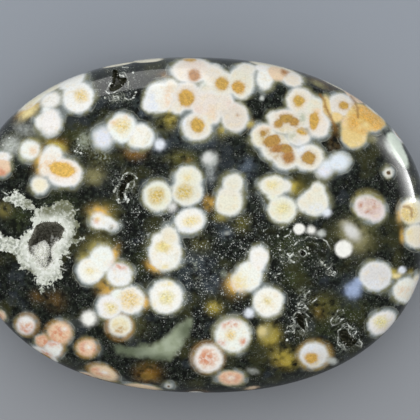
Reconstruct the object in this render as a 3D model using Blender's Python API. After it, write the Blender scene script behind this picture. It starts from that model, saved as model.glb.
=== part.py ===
"""Polished ocean jasper palm stone with open vugs, as a Blender model.

The stone is one oval pebble of orbicular jasper, domed on both faces, lying on a small
polished flat spot under its back. Several vugs open through the front face. The largest
one holds a crust of quartz crystals, which is a piece of its own.

Frame: metres, +Z up, +X along the stone's long axis, origin at the middle of the flat
spot that it rests on.
"""

import math
import random

import bmesh
import bpy
from mathutils import Vector, geometry, noise

MM = 0.001

# Driving dimensions of the pebble
LENGTH = 70.0 * MM
WIDTH = 51.2 * MM
OUTLINE_POWER = 2.22  # of the oval seen from above: 2 would be a plain ellipse
SECTION_POWER = 2.6  # of the section: flatter faces and rounder shoulders than 2
EQUATOR_HEIGHT = 8.8 * MM
FRONT_RISE = 9.8 * MM
BACK_DROP = EQUATOR_HEIGHT + 0.1 * MM  # the polished flat spot takes off the last 0.1 mm

AROUND = 96
FRONT_RINGS = 17
BACK_RINGS = 12

# The large vug: its mouth in the front face, going round, measured from the mouth's middle
MOUTH_AT = Vector((-22.9, -3.9, 0.0)) * MM
MOUTH_OUTLINE = (
    (-1.8, 3.6),
    (0.9, 3.8),
    (2.7, 2.9),
    (2.3, 1.2),
    (1.4, -1.2),
    (0.8, -3.0),
    (-0.2, -3.7),
    (-1.5, -2.2),
    (-2.8, 0.4),
    (-2.5, 2.0),
)
MOUTH_POINTS = 40
VUG_DEPTH = 5.0 * MM
VUG_SHARES = (0.0, 0.15, 0.32, 0.5, 0.68, 0.84, 0.95)  # of the depth, for its rings
VUG_SWELL = 0.10  # how much wider it is below its mouth
VUG_ROUNDING = 2.2  # power that closes it in towards its bottom
CUTTER_ABOVE = -0.35  # share of the depth at which its cutter starts, above the face

# The crust that lines it, and the mound of crystals standing on its floor
CRUST_GAP = 0.3 * MM
CRUST_SHARES = (0.2, 0.38, 0.56, 0.72, 0.86)  # of the vug's depth, for its back's rings
CRUST_RIM = 0.4 * MM  # width of its cut edge, which shows round the mouth
RIM_SHARE = 0.02  # of the vug's depth, at which that edge lies
BOWL_DEPTH = 3.6 * MM
BOWL_POWER = 4.0  # steep walls and a nearly level floor
MOUND_AT = Vector((-0.9, -1.0)) * MM
MOUND_ALONG = Vector((0.50, -0.87))
MOUND_HALF_LENGTH = 1.9 * MM
MOUND_HALF_WIDTH = 0.9 * MM
MOUND_HEIGHT = 1.3 * MM
CRYSTAL_RINGS = (0.9, 0.76, 0.6, 0.42, 0.22)  # shares of the way from middle to rim
CRYSTAL_COUNT = 32  # on a ring as long as the rim
CRYSTAL_SCATTER = 0.14 * MM
CRYSTAL_HEIGHT = 0.5 * MM
CRYSTAL_LEAN = 0.08 * MM

# Small vugs: middle of the mouth, half its length, half its width, turn in degrees, depth
SMALL_VUGS = {
    "upper": ((-12.6, 21.7), 1.9, 1.1, 62.0, 1.7),
    "middle": ((-11.3, 5.5), 2.1, 0.85, 66.0, 1.5),
    "pinhole": ((16.1, -4.3), 0.55, 0.5, 0.0, 0.9),
    "low": ((16.1, -13.9), 2.0, 0.85, 100.0, 1.4),
    "rim": ((22.7, -16.5), 1.8, 1.1, 118.0, 1.5),
}
JAGGEDNESS = 0.75  # depth of the lumps on their cutters, as a share of the size
JAG_PITCH = 1.7  # how many lumps there are

JASPER_COLOUR = (0.05, 0.06, 0.045, 1.0)
QUARTZ_COLOUR = (0.78, 0.78, 0.70, 1.0)


def clear_scene():
    """Take away whatever the scene holds."""
    for old in list(bpy.data.objects):
        bpy.data.objects.remove(old, do_unlink=True)


def finish_material(name, colour, roughness):
    """A plain Principled finish in the piece's main colour."""
    material = bpy.data.materials.new(name)
    material.use_nodes = True
    shader = material.node_tree.nodes["Principled BSDF"]
    shader.inputs["Base Color"].default_value = colour
    shader.inputs["Roughness"].default_value = roughness
    shader.inputs["Metallic"].default_value = 0.0
    return material


def object_from(bm, name, material=None):
    """Make a named object from a bmesh, with all its faces pointing out."""
    bmesh.ops.recalc_face_normals(bm, faces=bm.faces)
    mesh = bpy.data.meshes.new(name)
    bm.to_mesh(mesh)
    bm.free()
    if material:
        mesh.materials.append(material)
    made = bpy.data.objects.new(name, mesh)
    bpy.context.scene.collection.objects.link(made)
    return made


def signed_power(value, power):
    """The power of a value's size, with the value's own sign."""
    return math.copysign(abs(value) ** power, value)


def outline_point(share):
    """A point of the oval outline, share going from 0 to 1 round it."""
    turn = 2 * math.pi * share
    power = 2 / OUTLINE_POWER
    x = LENGTH / 2 * signed_power(math.cos(turn), power)
    y = WIDTH / 2 * signed_power(math.sin(turn), power)
    return x, y


def front_height(x, y):
    """Height of the polished front face above the base, over a point of the plan."""
    across = abs(2 * x / LENGTH) ** OUTLINE_POWER + abs(2 * y / WIDTH) ** OUTLINE_POWER
    radius = min(1.0, across ** (1 / OUTLINE_POWER))
    return EQUATOR_HEIGHT + FRONT_RISE * (1 - radius**SECTION_POWER) ** (1 / SECTION_POWER)


def section_points():
    """(radius as a share of the outline, height) down the section, front to flat spot."""
    power = 2 / SECTION_POWER
    points = []
    for ring in range(1, FRONT_RINGS + 1):
        slope = math.pi / 2 * ring / FRONT_RINGS
        rise = FRONT_RISE * abs(math.cos(slope)) ** power
        points.append((math.sin(slope) ** power, EQUATOR_HEIGHT + rise))
    flat_slope = math.acos((EQUATOR_HEIGHT / BACK_DROP) ** (SECTION_POWER / 2))
    for ring in range(1, BACK_RINGS + 1):
        slope = math.pi / 2 + (math.pi / 2 - flat_slope) * ring / BACK_RINGS
        drop = BACK_DROP * abs(math.cos(slope)) ** power
        points.append((math.sin(slope) ** power, EQUATOR_HEIGHT - drop))
    radius, _ = points[-1]
    points[-1] = (radius, 0.0)
    return points


def add_ring(bm, corners):
    """New vertices at the corners, in their order."""
    return [bm.verts.new(corner) for corner in corners]


def join_rings(bm, upper, lower):
    """Skin the strip between two rings of the same count."""
    for here in range(len(upper)):
        after = (here + 1) % len(upper)
        bm.faces.new((upper[here], lower[here], lower[after], upper[after]))


def cap_to_point(bm, ring, point):
    """Close a ring with a fan of triangles to one point."""
    tip = bm.verts.new(point)
    for here in range(len(ring)):
        bm.faces.new((ring[here], ring[(here + 1) % len(ring)], tip))


def pebble(material):
    """The whole pebble before its vugs are cut."""
    bm = bmesh.new()
    rings = []
    for radius, height in section_points():
        plan = [outline_point(step / AROUND) for step in range(AROUND)]
        rings.append(add_ring(bm, [(radius * x, radius * y, height) for x, y in plan]))
    cap_to_point(bm, rings[0], (0, 0, EQUATOR_HEIGHT + FRONT_RISE))
    for upper, lower in zip(rings, rings[1:]):
        join_rings(bm, upper, lower)
    bm.faces.new(rings[-1])
    stone = object_from(bm, "jasper_stone", material)
    stone.data.shade_smooth()
    stone.data.set_sharp_from_angle(angle=math.radians(30))
    return stone


def smooth_mouth(count):
    """The vug's mouth as count points on a closed curve through the outline's points."""
    corners = [Vector((x, y, 0.0)) * MM for x, y in MOUTH_OUTLINE]
    total = len(corners)
    points = []
    for step in range(count):
        whole, part = divmod(step * total / count, 1.0)
        before, start, end, after = (corners[(int(whole) + k) % total] for k in (-1, 0, 1, 2))
        points.append(
            0.5
            * (
                2 * start
                + (end - before) * part
                + (2 * before - 5 * start + 4 * end - after) * part**2
                + (3 * start - before - 3 * end + after) * part**3
            )
        )
    return points


def vug_ring(share, inset):
    """A ring of the large vug at a share of its depth, brought in by inset.

    Args:
        share: 0 at the mouth, 1 at the bottom, below 0 above the front face.
        inset: how far inside the cut wall the ring lies, in metres.
    """
    depth_share = max(0.0, share)
    swell = 1 + VUG_SWELL * math.sin(math.pi * depth_share)
    taper = swell * math.sqrt(1 - depth_share**VUG_ROUNDING)
    corners = []
    for point in smooth_mouth(MOUTH_POINTS):
        spread = point * taper
        plan = MOUTH_AT + spread.normalized() * (spread.length - inset)
        height = front_height(plan.x, plan.y) - share * VUG_DEPTH
        corners.append(Vector((plan.x, plan.y, height)))
    return corners


def vug_cutter():
    """The solid that hollows the large vug out of the pebble."""
    bm = bmesh.new()
    rings = [add_ring(bm, vug_ring(share, 0.0)) for share in (CUTTER_ABOVE, *VUG_SHARES)]
    for upper, lower in zip(rings, rings[1:]):
        join_rings(bm, upper, lower)
    bm.faces.new(rings[0])
    bm.faces.new(rings[-1])
    return object_from(bm, "cutter_large_vug")


def small_vug_cutter(name, place):
    """An angular lump, jagged like the crystal-walled pit that it cuts."""
    (x, y), half_length, half_width, turn, depth = place
    bm = bmesh.new()
    bmesh.ops.create_icosphere(bm, subdivisions=2, radius=1.0)
    seed = Vector((x, y, depth))
    for vert in bm.verts:
        vert.co *= 1 + JAGGEDNESS * noise.noise(vert.co * JAG_PITCH + seed)
    cutter = object_from(bm, f"cutter_{name}_vug")
    cutter.scale = (half_length * MM, half_width * MM, depth * MM)
    cutter.rotation_euler.z = math.radians(turn)
    cutter.location = (x * MM, y * MM, front_height(x * MM, y * MM))
    return cutter


def crystal_feet(rim, rng):
    """Points of the plan where crystals of the crust meet, with their share out to the rim."""
    middle = MOUTH_AT.xy
    feet = [(corner.xy, 1.0) for corner in rim]
    for number, share in enumerate(CRYSTAL_RINGS):
        count = round(CRYSTAL_COUNT * share)
        for step in range(count):
            place = (step + 0.5 * (number % 2)) / count * len(rim)
            whole, part = divmod(place, 1.0)
            start, end = (rim[(int(whole) + k) % len(rim)].xy for k in (0, 1))
            foot = middle.lerp(start.lerp(end, part), share)
            aside = Vector((rng.uniform(-1, 1), rng.uniform(-1, 1)))
            feet.append((foot + aside * CRYSTAL_SCATTER * (1 - share**3), share))
    feet.append((middle, 0.0))
    return feet


def lining_height(plan, share):
    """Height of the crust's inner face: a steep bowl with a long mound on its floor."""
    bowl = BOWL_DEPTH * (1 - share**BOWL_POWER)
    off = plan - MOUTH_AT.xy - MOUND_AT
    along = off.dot(MOUND_ALONG) / MOUND_HALF_LENGTH
    aside = off.cross(MOUND_ALONG) / MOUND_HALF_WIDTH
    mound = MOUND_HEIGHT * math.exp(-(along**2) - aside**2) * (1 - share**4)
    return front_height(plan.x, plan.y) - RIM_SHARE * VUG_DEPTH - bowl + mound


def crystal_lining(bm, rim, rng):
    """The crust's inner face, a crystal with three flat faces on each of its triangles."""
    feet = crystal_feet([vert.co for vert in rim], rng)
    rim_edges = [(k, (k + 1) % len(rim)) for k in range(len(rim))]
    # The triangulation works on millimetres, where its tolerance is a small one
    plan = [foot / MM for foot, _ in feet]
    inside = 1
    _, _, triangles, _, _, _ = geometry.delaunay_2d_cdt(
        plan, rim_edges, [list(range(len(rim)))], inside, 1e-5
    )
    verts = list(rim)
    for foot, share in feet[len(rim) :]:
        verts.append(bm.verts.new((foot.x, foot.y, lining_height(foot, share))))
    for corners in triangles:
        face = bm.faces.new([verts[corner] for corner in corners])
        face.normal_update()
        lean = Vector([rng.uniform(-1, 1) for _ in range(3)]) * CRYSTAL_LEAN
        height = CRYSTAL_HEIGHT * rng.uniform(0.4, 1.0)
        tip = face.calc_center_median() + face.normal * height + lean
        poked = bmesh.ops.poke(bm, faces=[face])
        poked["verts"][0].co = tip


def crystal_crust(material):
    """The crust of quartz points that lines the large vug."""
    bm = bmesh.new()
    backing = [add_ring(bm, vug_ring(s, CRUST_GAP)) for s in (RIM_SHARE, *CRUST_SHARES)]
    for upper, lower in zip(backing, backing[1:]):
        join_rings(bm, upper, lower)
    bm.faces.new(backing[-1])
    rim = add_ring(bm, vug_ring(RIM_SHARE, CRUST_GAP + CRUST_RIM))
    join_rings(bm, backing[0], rim)
    crystal_lining(bm, rim, random.Random(7))
    return object_from(bm, "quartz_crust", material)


def cut_with(stone, cutter):
    """Take the cutter's shape out of the stone, and keep the cutter as a guide."""
    cut = stone.modifiers.new(cutter.name, "BOOLEAN")
    cut.operation = "DIFFERENCE"
    cut.solver = "EXACT"
    cut.object = cutter
    cutter.hide_render = True
    cutter.display_type = "WIRE"


def main():
    """Make the stone and its crust."""
    clear_scene()
    stone = pebble(finish_material("polished_jasper", JASPER_COLOUR, 0.12))
    cut_with(stone, vug_cutter())
    for name, place in SMALL_VUGS.items():
        cut_with(stone, small_vug_cutter(name, place))
    crystal_crust(finish_material("vug_quartz", QUARTZ_COLOUR, 0.45))


main()
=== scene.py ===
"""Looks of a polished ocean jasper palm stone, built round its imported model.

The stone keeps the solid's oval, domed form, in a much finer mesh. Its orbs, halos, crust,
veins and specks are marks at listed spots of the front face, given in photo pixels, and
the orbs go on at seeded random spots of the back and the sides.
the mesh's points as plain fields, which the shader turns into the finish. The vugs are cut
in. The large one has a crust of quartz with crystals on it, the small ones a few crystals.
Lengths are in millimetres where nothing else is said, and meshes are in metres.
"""

import logging
import math
import random
from dataclasses import dataclass, field
from enum import Enum
from typing import Sequence

import bmesh
import bpy
import numpy as np
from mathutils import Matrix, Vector, noise


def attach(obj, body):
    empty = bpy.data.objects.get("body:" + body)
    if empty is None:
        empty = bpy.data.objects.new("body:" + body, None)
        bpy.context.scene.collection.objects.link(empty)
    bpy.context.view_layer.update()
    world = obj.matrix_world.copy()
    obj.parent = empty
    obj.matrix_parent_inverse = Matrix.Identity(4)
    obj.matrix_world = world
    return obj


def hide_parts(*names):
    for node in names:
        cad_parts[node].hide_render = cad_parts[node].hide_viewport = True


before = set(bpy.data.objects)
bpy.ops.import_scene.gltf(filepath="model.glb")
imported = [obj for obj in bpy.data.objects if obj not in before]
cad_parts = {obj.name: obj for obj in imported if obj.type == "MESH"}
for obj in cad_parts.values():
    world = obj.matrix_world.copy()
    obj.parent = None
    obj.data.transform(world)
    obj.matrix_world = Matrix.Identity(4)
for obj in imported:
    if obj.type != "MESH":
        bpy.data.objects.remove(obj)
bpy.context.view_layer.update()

LOG = logging.getLogger("ocean_jasper")
MM = 0.001
TRIPLE = tuple[float, float, float]
Socket = bpy.types.NodeSocket


def linear(red: float, green: float, blue: float) -> TRIPLE:
    """Turn a colour as a screen shows it, 0 to 255, into the light it stands for."""
    return tuple(((v / 255 + 0.055) / 1.055) ** 2.4 if v > 10 else v / 3295 for v in (red, green, blue))


class Tone(Enum):
    """The stone's own colours, as a screen shows them, and the colour of one painted reflection."""

    WHITE = (246, 245, 238)
    MILK = (233, 227, 213)
    IVORY = (235, 232, 214)
    PEARL = (222, 221, 218)
    SHELL = (224, 219, 205)
    ROSE = (224, 208, 202)
    BLUISH = (228, 233, 241)
    # Not the stone's colour: the pale green of a painted reflection on the polished shoulder
    PAINTED_REFLECTION = (220, 230, 216)
    GREY = (196, 200, 194)
    CREAM = (240, 234, 210)
    BUTTER = (238, 220, 158)
    PEACH = (238, 210, 178)
    PINK = (232, 204, 190)
    SALMON = (216, 146, 112)
    GOLD = (205, 162, 74)
    STRAW = (232, 216, 150)
    LEMON = (208, 182, 98)
    ORANGE = (226, 174, 82)
    GOLDEN = (226, 182, 88)
    RUSSET = (192, 142, 116)
    MAIZE = (232, 206, 140)
    OCHRE = (178, 138, 64)
    BRASS = (146, 136, 76)
    UMBER = (172, 120, 60)
    HONEY = (194, 154, 72)
    CITRON = (176, 158, 66)
    AMBER = (158, 112, 36)
    OLIVE = (98, 94, 44)
    MOSS = (62, 70, 34)
    BROWN = (92, 70, 34)
    SLATE = (96, 108, 122)
    PERIWINKLE = (158, 174, 206)
    SAGE = (176, 186, 164)
    KHAKI = (134, 129, 88)

    def light(self) -> np.ndarray:
        """The tone as linear light."""
        return np.array(linear(*self.value))


@dataclass(frozen=True)
class Spot:
    """An oval mark of the front face, as the photo shows it.

    Args:
        x, y: its middle, in photo pixels.
        rx, ry: half its length and half its width, in photo pixels.
        turn: how far the length is turned anticlockwise from level, in degrees.
        tone: its colour.
        strength: how much of what is below it the mark covers, 0 to 1.
        soft: width of its blurred edge, as a share of its radius; from 0.9 it fades all over.
    """

    x: float
    y: float
    rx: float
    ry: float
    turn: float = 0.0
    tone: Tone = Tone.WHITE
    strength: float = 1.0
    soft: float = 0.1


def spots(tone: Tone, rows: str, strength: float = 1.0, soft: float = 0.1) -> list[Spot]:
    """Read a list of spots.

    Args:
        tone: the colour of all of them.
        rows: "x y rx ry turn" for each, in photo pixels and degrees, parted by commas;
            ry and turn can be left out.
        strength: of all of them.
        soft: of all of them.

    Returns:
        The spots, in the list's order.
    """
    made = []
    for row in rows.split(","):
        x, y, rx, *rest = (float(word) for word in row.split())
        ry = rest[0] if rest else rx
        turn = rest[1] if len(rest) > 1 else 0.0
        made.append(Spot(x, y, rx, ry, turn, tone, strength, soft))
    return made


# The orbs that the polish cuts through, seen crisp
ORBS = (
    spots(
        Tone.WHITE,
        "78 97 16.5 17, 72 81.5 16 7.5 28, 52.5 156 10.5 12, 64 172.5 19 15.5 -12, 30 150 10.5,"
        "122 128 15.5, 140.5 136 12.5 13.5, 146.5 138 8 11, 160 97 15.5 16.5, 151 103 9.5 10.5,"
        "265 78 9 13, 190 221 16.5 13 20, 166 297 17.3 17.8, 130.5 300.3 15.2 14.5,"
        "109.5 307 13 13.3, 249 276 14 15.5, 268 302 16.2 15.7, 232.8 335.3 18.3 17.6,"
        "208.5 358.5 15 15, 90.5 270.5 14.3 14.2, 119.5 275 13.2 13, 382.5 323 16 13 25,"
        "25.5 325.5 10.2, 53 349 10.5 9.5, 407 290.5 15.5 13.5, 417 283 7 10, 413 291 11 11,"
        "98 220 8.5 9.5, 106 222.5 11 7.5 -20, 112 225.5 6 6, 132 133 8 8, 165 253 17 18.7, 169 256 13 14,"
        "258.5 257 10.5 12, 257 266 9 8 40, 239 282 9 10 40, 46 164 8 14 -4, 46 110 5 5, 102 259 13.2 14,"
        "158.5 241 8 9, 118 295 8 7, 3 157 9 6, 40 122 6 9, 262 68 9 4",
    )
    + spots(
        Tone.IVORY,
        "188.5 178.5 14.5 13, 158 196 15.5 15.7, 187 192.3 16.7 14, 233 184.5 11.3 11.3, 230 194 12.5 9,"
        "229 202.5 14.5 14.5, 273.5 186.3 15 11, 286 186 6 7, 282.3 209.3 15.3 14.3,"
        "303.5 204 7 9, 273 197 7 5, 317.5 193 8.5 11.5, 315 202 14.5 14.5",
    )
    + spots(
        Tone.MILK,
        "192 70 21.5 14, 171 87 9 9, 246 70 11 8, 213 75 13 12, 187 96 16 15, 178 106 9 9,"
        "221 84 15 15, 241 82.5 14 18,"
        "206 104 18 15, 223 104 13 14, 197 126 16 15.5, 213 115 9 11, 292 79 12 8 -20,"
        "300 100.5 14.5 14, 318.5 124 12.6 14.5, 302 116 12 15, 308.5 157.5 16.2 14, 286 122 19 13,"
        "273 117 7 6, 264 136 13.5 13, 276 147 16.3 14.7, 286 157 15.5 13.5, 341.5 105 15.5 13, 298 138 13 9,"
        "313.5 107 12 12, 207 88 9 8",
    )
    + spots(Tone.SHELL, "234.5 117 14.2 16, 224 110 9 9")
    + spots(Tone.PEARL, "313.5 355.3 15 13.5, 375.8 276.2 17 15.2")
    + spots(Tone.ROSE, "367.5 207 14.5 12.5 -20, 375.5 211.5 10.5 11.5 -20")
    + spots(
        Tone.CREAM,
        "169 238 10.5 12.5, 416 236 12.8 13, 120.3 325.5 12.2 12, 413 211.5 14.5 14,"
        "32 102 17 4.5 36, 40 185 9.5, 388.5 172.7 5.5, 168.5 385.8 3.8 3, 133 141 6 6",
    )
    + spots(Tone.WHITE, "50 122 12.5 15, 50.5 100 12.3 9 20", soft=0.15)
    + spots(
        Tone.BLUISH,
        "338.5 162.3 12.4 9.9 20, 325 171 10 7.5 20, 327 165.5 9 7 20, 103 138 10.5 11.5",
        soft=0.16,
    )
    + spots(
        Tone.PEACH,
        "59.5 333 12.4 11.6, 103.5 373.5 14.6 8.1 -20, 231 378 13.7 8 -6, 87 348 10.3 9,"
        "276 73.5 14 8 -10, 141 387.5 20 4 -6, 42 341 7.5, 1 166 10.5 11, 0 316 7",
    )
    + spots(
        Tone.MAIZE,
        "354 134.5 13.5 14.5, 362 117 21 13 -28, 376 122 11 9.5, 350 124 9.5 12, 327 107 6 12 8,"
        "337 115.5 8 8",
    )
)

# Patches of another colour that lie on the orbs
PATCHES = (
    spots(Tone.PINK, "195 66 12 6, 232 104 9 6, 284 112 12 5 20, 268 127 10 5, 196 110 10 5", 0.5, 0.9)
    + spots(Tone.PEACH, "212 114 5 9, 318 112 7 10 -30, 186 250 5 5, 345 121 8 6, 262 128 9 5", 0.8, 0.9)
    + spots(Tone.PEACH, "169 97 6 14, 60 167 20 13 -12, 113 122 8 5, 130 116 9 5, 34 151 6 7", 1.0, 0.9)
    + spots(Tone.PEACH, "206 357 13 12, 404 291 9 7, 27 326 10 9, 60 329 9 9, 44 166 7 13", 0.8, 0.9)
    + spots(Tone.SAGE, "290 136 9 6, 302 118 5 7, 203 84 4 5", 0.8, 0.9)
    + spots(Tone.BLUISH, "302 150 7 12 20, 153 106 10 8, 150 98 6 10, 183 122 4 9, 155 140 6 9", 1.0, 0.9)
    + spots(Tone.BLUISH, "316 208 10 6, 375 285 14 6, 310 347 14 8, 318 364 12 5, 188 230 9 4", 0.8, 0.9)
    + spots(Tone.PERIWINKLE, "332 176 14 4 25, 68 189 14 3 -4, 327 215 6 4, 375 291 12 3", 0.7, 0.9)
    + spots(Tone.BUTTER, "209 124 4 9, 255 140 4 8 20, 352 147 12 6, 151 305 6 6, 118 328 11 10", 0.7, 0.9)
    + spots(Tone.BUTTER, "243 289 9 5 -30, 143 303 5 8, 168 283 9 4, 415 276 6 6, 165 268 9 4", 0.9, 0.9)
    + spots(
        Tone.SALMON,
        "230 322 13 8 10, 244 342 5 4.5, 221 343 6 4, 206 358 12 11, 231 378 13 7, 95.5 219.5 4 5,"
        "59 333 13 12, 28 330 11 8, 19 320 5 4, 53 343 9 6, 42 341 7, 84 348 6 8, 94 350 4 6,"
        "120 265 12 5.5, 100 372 14 5 -20, 1 173 9 6, 47 353 7 3 -30, 0 317 5 5",
        soft=0.9,
    )
    + spots(Tone.RUSSET, "374.5 203 8 7.5, 361 205 3.5 4, 369 212 6 3", 0.95, 0.9)
    + spots(Tone.BUTTER, "235 282 13 12 45, 164 247 9 7, 98 215 10 6, 407 232 6 9", 1.0, 0.9)
    + spots(Tone.ORANGE, "367 117 17 11 -32, 377 125 8 7, 354 122 8 11, 404 214 5 10", 0.75, 0.9)
    + spots(
        Tone.ORANGE,
        "97 210 12 4 -5, 39.5 165 3 13, 28 110 9 4 36, 237 294 8 4.5 30, 230 286 6 10 40",
        soft=0.9,
    )
    + spots(Tone.OLIVE, "113 230 7 6 -20, 90.5 217 4 7", 1.0, 0.9)
    + spots(
        Tone.WHITE,
        "104 372 7 3 -20, 88 347 5 4, 231 378 5 3, 52 350 6 5, 64 329 4 3, 25 320 6 4",
        0.9,
        0.9,
    )
    + spots(Tone.OCHRE, "353 121 6.5 7.5, 366 119 4 9 20, 374 119 6 5, 267 132 6 4, 276 156 6 5", 0.7, 0.9)
    + spots(Tone.BUTTER, "352.5 121 3 3.5, 366 124 3 3, 370 110 4 3, 360 112 4 4", 1.0, 0.9)
    + spots(Tone.BRASS, "364 195.5 9 3.5 -10", 0.8, 0.9)
    + spots(Tone.LEMON, "284 133 9 8, 263 139 6 5", 0.5, 0.9)
    + spots(Tone.BUTTER, "315 364 9 5", 0.7, 0.9)
    + spots(Tone.ORANGE, "116.5 257 4 8 -20", 0.9, 0.9)
    + spots(Tone.UMBER, "326 110 2.5 9 25, 238 115 2.5 2.5, 354 108 2.5 8 12, 119 330 8 6", 0.7, 0.9)
)

# The granular yellow and brown eyes in the middle of the orbs
EYES = (
    spots(
        Tone.GOLD,
        "189 59.5 7 2.5, 186.5 98 8.3 9, 221.5 84 6.7 7.2, 238.5 87 6.7 6.5, 197.5 125.5 7 8 20,"
        "299 101 6.2 5.8, 314 121 5 9.5 -8, 303 131 6 4 -10, 343.5 105.5 5.2 4.2, 311.5 358.5 6.5 6",
        soft=0.25,
    )
    + spots(Tone.GOLDEN, "62 169.5 13.5 7.5 -10", soft=0.25)
    + spots(Tone.ORANGE, "369 115 13 8 -35, 377 125 7 7, 354 122 5 8, 363 131 6 3", soft=0.5)
    + spots(Tone.MAIZE, "409 214 10 9.5", soft=0.5)
    + spots(
        Tone.OCHRE,
        "279 123 6 4.5 30, 286 118.5 8 4.5, 294 122 5.5 5 -30, 309 158 7.5 7,"
        "263.5 133.5 4.5 3.5, 272 141 9.5 6.5 20, 286 149 7 5",
        soft=0.22,
    )
    + spots(Tone.UMBER, "277 148.5 7.5 5, 288 157 7 6.5, 194 75.5 6.5 6.5, 285 71.5 4 3.5", soft=0.35)
    + spots(Tone.BROWN, "389 173 1.8 2, 168.5 386 1.2")
    + spots(Tone.LEMON, "156.5 195.5 8 8, 184.5 192 8.5 7 20", soft=0.5)
    + spots(Tone.MAIZE, "81 95.5 6.5 6.5, 122.5 126.5 8 7, 129.5 299.5 9 9, 231 335 5.5", soft=0.5)
    + spots(
        Tone.STRAW,
        "191 221 7.5 5 15, 272 185 4.5 3.5, 283 208.5 5.5 4.5, 166.5 297.5 7 6.5,"
        "111.5 308.5 6, 380.5 322 7 6.5, 90 271 4.5 3.5, 268 301 4.5 3.5, 188 178 3.5,"
        "163 247 6 5",
        soft=0.5,
    )
    + spots(
        Tone.GOLD,
        "112.5 308 3.5 3, 380 322.5 3.5 3, 190 221 2, 156.5 196 4.5, 183.5 192.5 4.5",
        soft=0.4,
    )
    + spots(Tone.GOLD, "161 245 2.4, 165.5 248 2.4", soft=0.6)
)

# What shines up from below the surface, blurred
GLOWS = (
    spots(Tone.OLIVE, "166 118 13 15, 220 130 8 12, 100 248 18 16, 295 187 13 11, 241 223 11", 0.8, 1)
    + spots(Tone.OLIVE, "84 141 14 11, 100 157 12 10, 125 322 22 20, 200 245 12", 0.6, 1)
    + spots(Tone.MOSS, "18 218 12 15, 60 209 22 16, 190 160 18 10, 140 262 10 14, 290 245 24 18", 0.6, 1)
    + spots(Tone.MOSS, "295 277 14, 345 310 27 14, 90 90 10 14, 362 222 18, 70 140 12, 330 330 20 12", 0.5, 1)
    + spots(Tone.AMBER, "148 374 14 11, 135 152 13 8, 248 124 7 7, 187 160 6 4, 167 76 9 5", 0.6, 1)
    + spots(Tone.AMBER, "56 146 14 9, 40 160 8 16, 285 362 8 6, 320 311 7 7, 336 126 7 9", 0.6, 1)
    + spots(Tone.BROWN, "56 301 11, 335 140 8 15, 322 82 24 6 -26, 38 296 9 7", 0.8, 1)
    + spots(Tone.OLIVE, "324 307 16 15, 104 210 12 7, 180 157 18 8", 0.8, 1)
    + spots(
        Tone.SLATE,
        "210 172 10 9, 247 167 10 11, 226 233 7, 160 144 11, 148 106 13, 197 130 24 19",
        0.7,
        1,
    )
    + spots(Tone.SLATE, "195 262 22 14, 180 290 14 18, 214 284 14, 330 168 26 13 20, 352 288 17 14", 0.3, 1)
    + spots(
        Tone.CITRON,
        "214 307 8.5, 283 357 13 11, 412 275 6 6, 290 363 9 7, 271 335 11 12, 171 116 8 12,"
        "300 206 6 8",
        0.85,
        1,
    )
    + spots(Tone.KHAKI, "356 237 19 16 -45, 353 233 14 13, 94 176 12 10", 1.0, 1)
    + spots(Tone.GREY, "210 173 7 9", 0.5, 1)
    + spots(Tone.GREY, "37 120 7 14", 0.6, 1)
)

# The warm fringes beside the orbs and round them
FRINGES = (
    spots(Tone.BRASS, "97 247 15 12, 100 216 15 13, 83 257 7 8 45, 4 210 8 8, 220 218 8 5", 0.85, 1)
    + spots(Tone.HONEY, "115 253 5 10 -20, 106 288 10 9, 209 203 6 8, 99 211 12 7 -5, 234 286 11 12 45", 1, 1)
    + spots(Tone.HONEY, "28 110 15 7 38, 153 267 10 6 -30, 145 303 5 7, 40 163 6 14", 1, 1)
    + spots(Tone.HONEY, "147 376 6 4, 315 355 19 16.5", 0.35, 0.4)
    + spots(Tone.BRASS, "367.5 203.5 17 15 -15, 232 334 20 19, 119 275 15 15, 30 150 12.5", 0.45, 0.35)
    + spots(Tone.CITRON, "57 146 13 6 -20, 295 187 8 8, 222 131 5 5, 395 273 9 5, 250 124 5 4", 0.8, 1)
    + spots(Tone.HONEY, "399.5 214 4 11, 402 236 3 9", 0.8, 1)
    + spots(Tone.AMBER, "58 333 15 14, 51 348 14 12, 87 348 13 11, 119.5 327 15 14.5", 0.5, 0.35)
    + spots(Tone.AMBER, "207.5 357.5 18 17.5, 102 373 17.5 10 -20, 27 325 13.5 13", 0.4, 0.35)
)
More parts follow.
